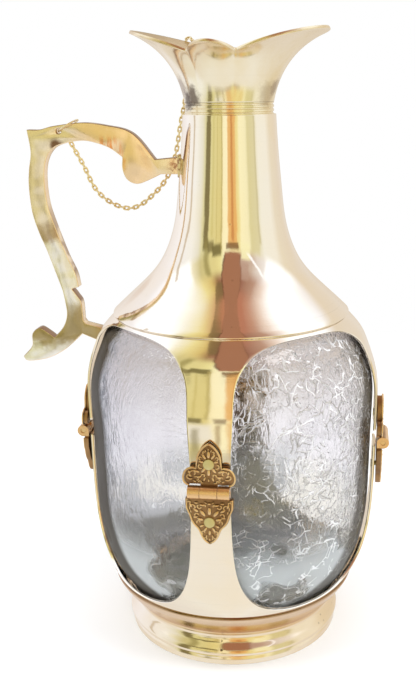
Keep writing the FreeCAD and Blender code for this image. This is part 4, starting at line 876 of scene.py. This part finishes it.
def make_foot():
    floor, swell = FOOT_FLOOR_RADIUS, spline(FOOT_SWELL, 30)
    section = [Vector((FOOT_BORE, 0))]
    section += round_corner((FOOT_BORE, 0), (floor, 0), (floor, FOOT_BAND_TALL), 0.35)
    section += [Vector((floor + out, up)) for out, up in FOOT_STEPS]
    section += swell[:-1] + round_corner(swell[-2], swell[-1], FOOT_TOP, 0.3)
    section += [Vector(FOOT_TOP), Vector((FOOT_TOP[0], FOOT_WEB_Z))] + spline(FOOT_INSIDE, 20)
    dress(turned("foot", section, FINE_STEPS), "root", "foot_brass", "foot_ring", foot_brass)


def make_collar():
    outer = spline(COLLAR_OUTSIDE, 18)
    bowl = spline(LOWER_CAGE_POLES, 80)
    inner = [Vector((read_radius(bowl, point.y) + COLLAR_OFF_BOWL, point.y)) for point in outer[:0:-1]]
    inner.append(Vector((53.0, 17.0)))
    section = outer[:-1] + round_corner(outer[-2], outer[-1], inner[0], 0.38) + inner
    dress(turned("collar", section, FINE_STEPS), "root", "collar_bronze", "foot_collar", collar_bronze)


# Mouth: a trumpet whose edge has two large and two small lobes between four notches.

FUNNEL_TALL = 31.5
LARGE_LOBE = 47.0
SMALL_LOBE = 36.7
NOTCH = 30.0
NOTCH_UP = 22.0
SMALL_LOBE_UP = 25.5
NOTCH_AT = 67.5
FUNNEL_WALL = 1.5
MOUTH_TURN = 9.0
MERIDIAN_SHARES = ((0, 0), (0.07, 0.30), (0.25, 0.746), (1, 1))


def lobe_edge(angle):
    folded = abs((angle + 90) % 180 - 90)
    if folded < NOTCH_AT:
        share = math.cos(math.pi / 2 * folded / NOTCH_AT)
        return NOTCH + (LARGE_LOBE - NOTCH) * share, NOTCH_UP + (FUNNEL_TALL - NOTCH_UP) * share
    share = math.cos(math.pi / 2 * (90 - folded) / (90 - NOTCH_AT))
    return NOTCH + (SMALL_LOBE - NOTCH) * share, NOTCH_UP + (SMALL_LOBE_UP - NOTCH_UP) * share


def bezier(points, t):
    a, b, c, d = (Vector(p) for p in points)
    s = 1 - t
    return a * s ** 3 + b * 3 * t * s * s + c * 3 * t * t * s + d * t ** 3


def make_mouth():
    around, up = 288, 30
    section = [(RING_RADIUS, MOUTH_Z + FUNNEL_TALL * step / up) for step in range(up + 1)]
    piece = turned("trumpet_mouth", section, around, angle=60, closed=False)
    for vertex in piece.data.vertices:
        angle = math.atan2(vertex.co.x, -vertex.co.y)
        share = (vertex.co.z / MM - MOUTH_Z) / FUNNEL_TALL
        radius, rise = lobe_edge(math.degrees(angle) - (90.0 - MOUTH_TURN))
        flare = radius - RING_RADIUS
        meridian = [(RING_RADIUS + flare * out, rise * high) for out, high in MERIDIAN_SHARES]
        point = bezier(meridian, max(0.0, min(1.0, share)))
        vertex.co = Vector((point.x * math.sin(angle), -point.x * math.cos(angle), MOUTH_Z + point.y)) * MM
    face_outward(tidy(piece, 60))
    paint(piece, mouth_brass, rim_brass, mouth_inside)
    apply_modifier(piece, "SOLIDIFY", thickness=FUNNEL_WALL * MM, offset=-1.0, use_even_offset=False,
                   material_offset=2, material_offset_rim=1, use_rim=True)
    bevel(piece, 0.28)
    smooth(piece, 40)
    dress(piece, "root", "neck_brass", "mouth_funnel")


# Cage: straps that fan out from the hinges into the bowl and the shoulder, between four windows.

WINDOW_HALF = 44.3
WINDOW_LOW = 31.5
WINDOW_HIGH = 163.2
WINDOW_SHARES = ((0.0, 0.0), (0.30, 0.0), (0.69, 0.022), (0.98, 0.18), (1.01, 0.42),
                 (1.02, 0.62), (0.99, 0.85), (0.72, 0.985), (0.30, 1.0), (0.0, 1.0))
UPPER_CAGE_TURN_Z = 163.8
LOWER_CAGE_TURN_Z = 30.2
UPPER_CAGE_RINGS_Z = (164.2, 164.58)
LOWER_CAGE_RINGS_Z = (28.6, 27.0, 25.2, 23.4, 21.6, 20.0, 18.8, 17.8, 17.3)
BOWL_FLOOR = ((50.6, 17.05), (48.0, 17.0), (36.0, 17.0), (24.0, 17.0), (12.0, 17.0), (0.0, 17.0))
BOWL_FLOOR_REACH = 50.0
CAGE_RADIUS = 70
LINE_MARGIN = 0.3
EIGHTH = math.radians(45)
lower_line = spline(LOWER_CAGE_POLES, 160)
upper_line = spline(UPPER_CAGE_POLES, 160)


def window_edge(line, strap_end):
    """The (angle, z) along a window's edge, from the strap's end to the middle of the window."""
    poles = [(out * WINDOW_HALF, WINDOW_LOW + (WINDOW_HIGH - WINDOW_LOW) * up) for out, up in WINDOW_SHARES]
    points = spline(poles, 900)
    upper = strap_end == STRAP_END_HIGH
    points = [p for p in points if (p.y > strap_end if upper else p.y < strap_end)]
    if not upper:
        points.reverse()
    edge = []
    for point in points:
        radius = read_radius(line, point.y)
        edge.append((EIGHTH - math.asin(min(1.0, point.x / radius)), point.y))
    return edge


def spread(edge, count):
    """The same edge in count steps of equal length."""
    lengths = [0.0]
    for a, b in zip(edge, edge[1:]):
        lengths.append(lengths[-1] + math.hypot((b[0] - a[0]) * CAGE_RADIUS, b[1] - a[1]))
    made = []
    for step in range(count + 1):
        wanted = lengths[-1] * step / count
        k = next((i for i in range(1, len(lengths)) if lengths[i] >= wanted - 1e-9), len(lengths) - 1)
        mix = (wanted - lengths[k - 1]) / max(1e-9, lengths[k] - lengths[k - 1])
        made.append([edge[k - 1][j] + (edge[k][j] - edge[k - 1][j]) * mix for j in (0, 1)])
    return made


def surface_point(line, angle, z, depth=0.0):
    """A point of the cage's outer skin, or below it by depth."""
    step = 0.2
    run = read_radius(line, z + step) - read_radius(line, z - step)
    slope = math.hypot(run, 2 * step)
    radius = read_radius(line, z) - depth * 2 * step / slope
    height = z + depth * run / slope
    return Vector((radius * math.sin(angle), -radius * math.cos(angle), height)) * MM


def grid_of(rows, columns, place):
    deselect()
    bpy.ops.mesh.primitive_grid_add(x_subdivisions=columns, y_subdivisions=rows, size=1.0)
    piece = bpy.context.object
    for vertex in piece.data.vertices:
        row = int(round((vertex.co.y + 0.5) * rows))
        column = int(round((vertex.co.x + 0.5) * columns))
        vertex.co = place(row, column)
    return piece


def make_cage(name, node, line, strap_end, turn_z, rings):
    """The sheet fans out from the strap's middle line, and from a ring beyond the windows, to
    the windows' edges. rings holds the (radius, z) of what closes the sheet past that ring."""
    rows, columns = 84, 14
    edge = spread(window_edge(line, strap_end), rows)
    edge[0][1] = strap_end
    upright = abs(strap_end - turn_z)
    corner = int(round(rows * upright / (upright + EIGHTH * read_radius(line, turn_z))))
    pieces = []
    for number in range(8):
        middle, side = math.radians(90 * (number // 2)), (-1, 1)[number % 2]

        def fan(row, column):
            angle, z = 0.0, turn_z
            if row <= corner:
                z = strap_end + (turn_z - strap_end) * row / corner
            else:
                angle = EIGHTH * (row - corner) / (rows - corner)
            share = column / columns
            return surface_point(line, middle + side * (angle + (edge[row][0] - angle) * share),
                                 z + (edge[row][1] - z) * share)

        def close(row, column):
            angle = middle + side * EIGHTH * column / (rows - corner)
            if row == 0:
                return surface_point(line, angle, turn_z)
            radius, z = rings[row - 1]
            return Vector((radius * math.sin(angle), -radius * math.cos(angle), z)) * MM

        pieces.append(grid_of(rows, columns, fan))
        pieces.append(grid_of(len(rings), rows - corner, close))
    piece = join(name, pieces)
    face_outward(tidy(piece, 60, 0.004))
    skin = [vertex.co.copy() for vertex in piece.data.vertices]
    apply_modifier(piece, "SOLIDIFY", thickness=BRASS_WALL * MM, offset=-1.0, use_even_offset=False,
                   material_offset_rim=1)
    low, high = min(point[1] for point in line), max(point[1] for point in line)
    for vertex, outer in zip(piece.data.vertices[len(skin):2 * len(skin)], skin):
        z = outer.z / MM
        if math.hypot(outer.x, outer.y) < BOWL_FLOOR_REACH * MM:
            vertex.co = outer + Vector((0, 0, BRASS_WALL * MM))
        elif low + LINE_MARGIN < z < high - LINE_MARGIN:
            vertex.co = surface_point(line, math.atan2(outer.x, -outer.y), z, BRASS_WALL)
    bevel(piece, 0.22)
    smooth(piece, 40)
    dress(piece, "root", "cage_brass", node, cage_brass, edge_brass)


def make_cages():
    rings = [(read_radius(upper_line, z), z) for z in UPPER_CAGE_RINGS_Z]
    make_cage("upper_cage_straps", "upper_cage", upper_line, STRAP_END_HIGH, UPPER_CAGE_TURN_Z, rings)
    rings = [(read_radius(lower_line, z), z) for z in LOWER_CAGE_RINGS_Z] + list(BOWL_FLOOR)
    make_cage("lower_cage_bowl", "lower_cage", lower_line, STRAP_END_LOW, LOWER_CAGE_TURN_Z, rings)


# Glass vessel

GLASS_OFF_BRASS = 1.6
GLASS_WALL = 2.6
GLASS_FLOOR = ((0, 21.3), (23.2, 21.3), (46.4, 21.3))
GLASS_NECK = ((22.6, 188), (20, 195.6), (20, 204.8), (20, 214))


def make_glass():
    lower, upper, bell = (offset([Vector(p) for p in poles], BRASS_WALL + GLASS_OFF_BRASS)
                          for poles in (LOWER_CAGE_POLES, UPPER_CAGE_POLES, BELL_POLES))
    poles = [Vector(p) for p in GLASS_FLOOR] + [Vector((lower[1].x, 22.1))] + lower[2:-1]
    poles += upper[1:-1] + bell[1:3] + [Vector(p) for p in GLASS_NECK]
    outer = spline(poles, 90)
    inner = offset(outer, GLASS_WALL)
    inner[0] = outer[0] + Vector((0, GLASS_WALL))
    section = outer[:-1] + round_corner(outer[-2], outer[-1], inner[-1], 0.8)
    section += round_corner(outer[-1], inner[-1], inner[-2], 0.8) + list(reversed(inner[:-1]))
    piece = turned("glass_vessel_body", section, FINE_STEPS, closed=False)
    dress(piece, "root", "crackle_glass", "glass_vessel", glass)


# Handle: the outline is drawn in the plate's plane, filled, made thick and rounded at its edges.

HANDLE_NEAR = 24.6
HANDLE_REACH = 83.5
HANDLE_LOW_Z = 135.8
HANDLE_TALL = 119.7
HANDLE_THICK = 5.5
HANDLE_HOLE_SHARES = (0.695, 0.967)
HANDLE_HOLE_RADIUS = 1.3
HANDLE_OUTLINE_SHARES = (
    ((0.887, 0.973), (0.810, 0.973), (0.726, 0.987), (0.550, 1.000), (0.399, 0.987), (0.298, 0.971),
     (0.229, 0.938), (0.152, 0.871), (0.134, 0.855)),
    ((0.134, 0.855), (0.000, 0.864)),
    ((0.000, 0.864), (0.000, 0.797)),
    ((0.000, 0.797), (0.104, 0.797)),
    ((0.104, 0.797), (0.156, 0.779), (0.238, 0.758), (0.299, 0.774), (0.327, 0.816), (0.325, 0.864)),
    ((0.325, 0.864), (0.394, 0.898), (0.474, 0.919), (0.556, 0.929), (0.659, 0.919), (0.734, 0.898),
     (0.780, 0.850), (0.796, 0.780), (0.786, 0.675), (0.741, 0.568), (0.686, 0.460), (0.640, 0.388),
     (0.623, 0.329)),
    ((0.623, 0.329), (0.666, 0.321)),
    ((0.666, 0.321), (0.636, 0.292), (0.612, 0.262), (0.606, 0.187)),
    ((0.606, 0.187), (0.592, 0.173)),
    ((0.592, 0.173), (0.483, 0.155)),
    ((0.483, 0.155), (0.519, 0.099)),
    ((0.519, 0.099), (0.616, 0.126)),
    ((0.616, 0.126), (0.731, 0.055), (0.846, 0.014), (0.968, 0.000), (1.000, 0.019)),
    ((1.000, 0.019), (0.940, 0.067), (0.934, 0.120), (0.887, 0.148), (0.835, 0.130), (0.793, 0.108)),
    ((0.793, 0.108), (0.734, 0.155), (0.708, 0.208), (0.714, 0.261), (0.726, 0.312)),
    ((0.726, 0.312), (0.804, 0.474), (0.849, 0.553), (0.884, 0.639), (0.895, 0.745), (0.887, 0.815),
     (0.871, 0.885), (0.887, 0.973)),
)


def plate(name, outline, thick):
    """A flat plate in the XZ plane from an outline in millimetres, its front at -Y."""
    deselect()
    bpy.ops.mesh.primitive_circle_add(vertices=len(outline), radius=MM, fill_type="NOTHING",
                                      rotation=(math.pi / 2, 0, 0))
    piece = settle(bpy.context.object)
    piece.name = name
    for vertex, point in zip(piece.data.vertices, outline):
        vertex.co = Vector((point[0] * MM, thick / 2 * MM, point[1] * MM))
    edit(piece)
    bpy.ops.mesh.edge_face_add()
    bpy.ops.mesh.extrude_region_move(TRANSFORM_OT_translate={"value": (0, -thick * MM, 0)})
    bpy.ops.mesh.select_all(action="SELECT")
    bpy.ops.mesh.normals_make_consistent(inside=False)
    leave_edit()
    return piece


def handle_point(shares):
    return Vector((-(HANDLE_NEAR + HANDLE_REACH * shares[0]), HANDLE_LOW_Z + HANDLE_TALL * shares[1]))


def make_handle():
    outline = []
    for stretch in HANDLE_OUTLINE_SHARES:
        points = [handle_point(shares) for shares in stretch]
        outline += points[:1] if len(points) == 2 else through(points, 5)[:-1]
    piece = plate("cast_handle", outline, HANDLE_THICK)
    paint(piece, handle_brass, handle_edge)
    for polygon in piece.data.polygons:
        polygon.material_index = 0 if abs(polygon.normal.y) > 0.5 else 1
    deselect()
    hole = handle_point(HANDLE_HOLE_SHARES) * MM
    bpy.ops.mesh.primitive_cylinder_add(vertices=32, radius=HANDLE_HOLE_RADIUS * MM, depth=12 * MM,
                                        rotation=(math.pi / 2, 0, 0), location=(hole.x, 0, hole.y))
    drill = bpy.context.object
    apply_modifier(piece, "BOOLEAN", object=drill, operation="DIFFERENCE", solver="EXACT")
    bpy.data.objects.remove(drill)
    bevel(piece, 0.85, 3, material=1)
    smooth(piece, 32)
    dress(piece, "root", "handle_brass", "handle")


def make_small_pieces():
    socket = from_solid("handle_collar", "handle_socket")
    bevel(socket, 0.35, angle=60)
    dress(socket, "root", "handle_brass", "handle_collar", handle_brass)
    dress(from_solid("jump_ring", "ring_in_handle"), "ring", "chain_brass", "jump_ring", chain_brass)
    dress(from_solid("stopper_cap", "stopper_top"), "stopper", "neck_brass", "stopper_cap", neck_brass)
    dress(from_solid("stopper_eye", "stopper_loop"), "stopper", "chain_brass", "stopper_eye", chain_brass)
    for node, material in (("base_disc", cage_brass), ("glass_pad", felt), ("neck_seal", cork),
                           ("stopper_cork", cork), ("stopper_washer", cage_brass)):
        paint(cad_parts[node], material)


# Chain: beside the neck it lies nearer the handle than its solid, and over the mouth's edge it is
# pressed flatter, as in the photo.

CHAIN_ASIDE = 2.6
CHAIN_ASIDE_LOW = 214.0
CHAIN_ASIDE_HIGH = 288.0
CHAIN_OVER_RIM = 294.0
CHAIN_PRESS = 0.45
BY_THE_HANDLE = ((-0.0800, 0.0040, 0.2535), (-0.0550, 0.0060, 0.2135))
BY_THE_MOUTH = ((-0.0240, 0.0307, 0.2945), (-0.0160, 0.0299, 0.2969))


def lay_aside(piece):
    for vertex in piece.data.vertices:
        share = (vertex.co.z / MM - CHAIN_ASIDE_LOW) / (CHAIN_ASIDE_HIGH - CHAIN_ASIDE_LOW)
        if 0.0 < share < 1.0:
            vertex.co.x -= CHAIN_ASIDE * MM * math.sin(math.pi * share) ** 2
        vertex.co.z -= CHAIN_PRESS * max(0.0, vertex.co.z - CHAIN_OVER_RIM * MM)


def make_chain():
    """Copies of the chain's two halves in place of their solids, each a little thicker, the one by the mouth
    laid aside.
    """
    for node, name, bodies, ends in (
            ("chain_handle_side", "chain_by_the_handle", ("ring", "root"), BY_THE_HANDLE),
            ("chain_stopper_side", "chain_by_the_mouth", ("root", "stopper"), BY_THE_MOUTH)):
        piece = from_solid(node, name, 60)
        if node == "chain_stopper_side":
            lay_aside(piece)
        edit(piece)
        bpy.ops.mesh.normals_make_consistent(inside=False)
        bpy.ops.transform.shrink_fatten(value=LINK_SWELL * MM)
        leave_edit()
        paint(piece, chain_brass)
        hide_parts(node)
        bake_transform(piece)


# Hinges: the leaves are the solids with a bead along their edge and raised petals and scrolls.

LEAF_HALF = 10.75
LEAF_UP_TALL = 21.7
LEAF_DOWN_TALL = -25.1
LEAF_FRONT = HINGE_BACK + 2.3
PETAL_RISE = 1.5
RIVET_UP = 13.0
RIVET_DOWN = -14.4
LEAF_UP_ARCH_SHARES = ((0.0, 1.0), (0.16, 0.96), (0.38, 0.85), (0.42, 0.71))
LEAF_UP_LOBE_SHARES = ((0.47, 0.485), (0.78, 0.52), (1.06, 0.39), (1.02, 0.18), (0.80, 0.17))
LEAF_DOWN_SIDE_SHARES = ((0.865, 0.138), (1.0, 0.138), (0.985, 0.32), (0.86, 0.44))
LEAF_DOWN_TIP_SHARES = (
    (0.86, 0.44), (0.76, 0.63), (0.47, 0.68), (0.40, 0.86), (0.17, 0.98), (0.0, 1.0))
# Each petal: place across and up from the rivet, length, width, lean in degrees; those beside
# the middle line are repeated on its other side.
UP_PETALS = (
    (0.0, 4.5, 3.8, 1.8, 0), (2.0, 3.6, 3.4, 1.4, -34), (3.2, 1.2, 2.6, 1.3, -72),
    (2.3, -2.8, 3.2, 1.5, -142), (0.0, -4.0, 3.6, 1.7, 180), (1.2, 6.3, 1.8, 0.8, -24),
    (0.0, 7.0, 1.4, 0.8, 0), (5.4, -3.3, 3.2, 1.4, -70), (4.3, -6.0, 2.8, 1.3, -118),
    (1.9, -7.0, 2.6, 1.2, -160), (8.6, -3.9, 2.2, 1.1, -20), (8.0, -7.0, 2.0, 1.0, -100),
    (6.2, -8.0, 1.8, 0.9, -60), (0.0, -7.6, 2.0, 1.0, 0), (2.9, -8.6, 1.6, 0.8, -90),
)
DOWN_PETALS = (
    (0.0, 5.2, 4.0, 2.0, 0), (2.9, 4.2, 3.8, 1.8, -38), (4.1, 1.4, 3.2, 1.6, -74),
    (6.0, 5.6, 3.0, 1.4, -54), (8.3, 8.0, 2.6, 1.3, -20), (3.2, 8.2, 2.6, 1.2, -80),
    (0.0, 8.9, 1.8, 1.2, 90), (1.9, -3.5, 2.8, 1.3, -150), (0.0, -5.0, 2.8, 1.4, 180),
    (3.5, -1.8, 2.4, 1.2, -118), (6.2, 2.4, 2.4, 1.1, -100), (5.8, 9.2, 2.0, 1.0, -90),
    (1.4, -6.8, 2.0, 0.9, -165), (0.0, -8.2, 1.6, 0.9, 180), (8.2, 5.0, 1.8, 0.9, -10),
    (1.6, 9.4, 1.6, 0.8, -60),
)
# Each scroll: place across and up from the rivet, radius, start and end in degrees.
UP_CURLS = (
    (6.9, -4.4, 1.7, -60, 230), (3.7, -0.8, 1.3, -130, 90), (3.5, 2.9, 0.9, -90, 150),
    (5.3, -6.9, 1.2, 40, 290), (8.8, -5.8, 1.1, -90, 170), (2.4, -5.4, 0.9, 0, 240),
    (1.9, 5.5, 0.7, -80, 170), (3.8, -8.3, 0.7, 0, 220),
)
DOWN_CURLS = (
    (7.3, 6.9, 1.7, -40, 250), (4.6, 7.6, 1.2, -160, 80), (5.5, 3.4, 1.3, -90, 170),
    (2.7, -4.9, 1.0, -70, 190), (2.2, 7.7, 0.9, 0, 220), (4.8, 0.0, 1.0, -40, 200),
    (8.9, 9.2, 0.8, 0, 230), (1.7, -8.0, 0.7, 20, 240),
)
CURL_STEPS = 12
CURL_CLOSES = 0.55
CURL_WIRE = 0.40
RIM_WIRE = 0.5
RIM_INSET = 0.55
RELIEF_OFF_LEAF = 0.05


def petal(across, up, long, wide, lean):
    deselect()
    bpy.ops.mesh.primitive_uv_sphere_add(segments=12, ring_count=8, radius=0.5)
    piece = bpy.context.object
    piece.scale = (wide * MM, PETAL_RISE * MM, long * MM)
    piece.rotation_euler = (0, -math.radians(lean), 0)
    piece.location = (across * MM, 0, up * MM)
    settle(piece)
    return smooth(piece, 80)


def wire(points, radius):
    """A round wire in the XZ plane through points of that plane."""
    data = bpy.data.curves.new("wire", "CURVE")
    data.dimensions = "3D"
    data.bevel_depth = radius * MM
    data.bevel_resolution = 2
    data.use_fill_caps = True
    line = data.splines.new("POLY")
    line.points.add(len(points) - 1)
    for place, point in zip(line.points, points):
        place.co = (point[0] * MM, 0.0, point[1] * MM, 1.0)
    pick(new_object("wire", data))
    bpy.ops.object.convert(target="MESH")
    return smooth(bpy.context.object, 80)


def curl(across, up, radius, start, end):
    points = []
    for step in range(CURL_STEPS + 1):
        share = step / CURL_STEPS
        angle = math.radians(start + (end - start) * share)
        reach = radius * (1.0 - CURL_CLOSES * share)
        points.append((across + reach * math.cos(angle), up + reach * math.sin(angle)))
    return wire(points, CURL_WIRE)


def leaf_edge(stretches, tall):
    """The rim's wire runs just inside the leaf's edge, from one side over the end to the other."""
    half = []
    for shares in stretches:
        poles = [Vector((LEAF_HALF * across, tall * up)) for across, up in shares]
        half += poles if shares is LEAF_DOWN_SIDE_SHARES else spline(poles, 12)
    inset = []
    for i, point in enumerate(half):
        along = half[min(i + 1, len(half) - 1)] - half[max(i - 1, 0)]
        if along.length < 1e-6:
            continue
        along.normalize()
        side = Vector((along.y, -along.x)) if tall > 0 else Vector((-along.y, along.x))
        inset.append(point - side * RIM_INSET)
    mirrored = [Vector((-point.x, point.y)) for point in reversed(inset)]
    return mirrored + inset if tall > 0 else inset + mirrored


def make_ornament(name, stretches, tall, rivet, petals, curls):
    pieces = [wire(leaf_edge(stretches, tall), RIM_WIRE)]
    for across, up, long, wide, lean in petals:
        pieces.append(petal(across, rivet + up, long, wide, lean))
        if across:
            pieces.append(petal(-across, rivet + up, long, wide, -lean))
    for across, up, radius, start, end in curls:
        pieces.append(curl(across, rivet + up, radius, start, end))
        pieces.append(curl(-across, rivet + up, radius, 180 - start, 180 - end))
    made = join(name, pieces)
    made.location = (0, -(LEAF_FRONT + RELIEF_OFF_LEAF) * MM, HINGE_Z * MM)
    return settle(made)


def make_hinges():
    upper = make_ornament("upper_leaf_relief", (LEAF_UP_ARCH_SHARES, LEAF_UP_LOBE_SHARES), LEAF_UP_TALL,
                          RIVET_UP, UP_PETALS, UP_CURLS)
    lower = make_ornament("lower_leaf_relief", (LEAF_DOWN_SIDE_SHARES, LEAF_DOWN_TIP_SHARES), LEAF_DOWN_TALL,
                          RIVET_DOWN, DOWN_PETALS, DOWN_CURLS)
    for number, side in enumerate(("front", "spout_side", "back", "handle_side")):
        for part, relief in (("upper", upper), ("lower", lower)):
            node = "hinge_%s_leaf_%s" % (part, side)
            leaf = from_solid(node, "leaf_body")
            bevel(leaf, 0.25)
            raised = new_object("leaf_relief", relief.data.copy())
            raised.rotation_euler = (0, 0, math.radians(90 * number))
            settle(raised)
            paint(leaf, hinge_ground)
            paint(raised, hinge_brass)
            dress(join("%s_leaf_%s" % (part, side), [leaf, raised]), "root", "hinge_brass", node)
        paint(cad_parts["hinge_pin_" + side], hinge_brass)
    bpy.data.objects.remove(upper)
    bpy.data.objects.remove(lower)
    rivets = from_solid("hinge_rivets", "rivets")
    bevel(rivets, 0.3, 3, 60)
    dress(rivets, "root", "hinge_brass", "hinge_rivets", rivet_brass)


make_camera()
make_world()
make_floor()
for lamp in LAMPS:
    make_lamp(*lamp)
make_neck_bell()
make_neck_ring()
make_foot()
make_collar()
make_mouth()
make_cages()
make_glass()
make_handle()
make_small_pieces()
make_chain()
make_hinges()

bpy.context.scene.view_settings.view_transform = "Standard"
deselect()
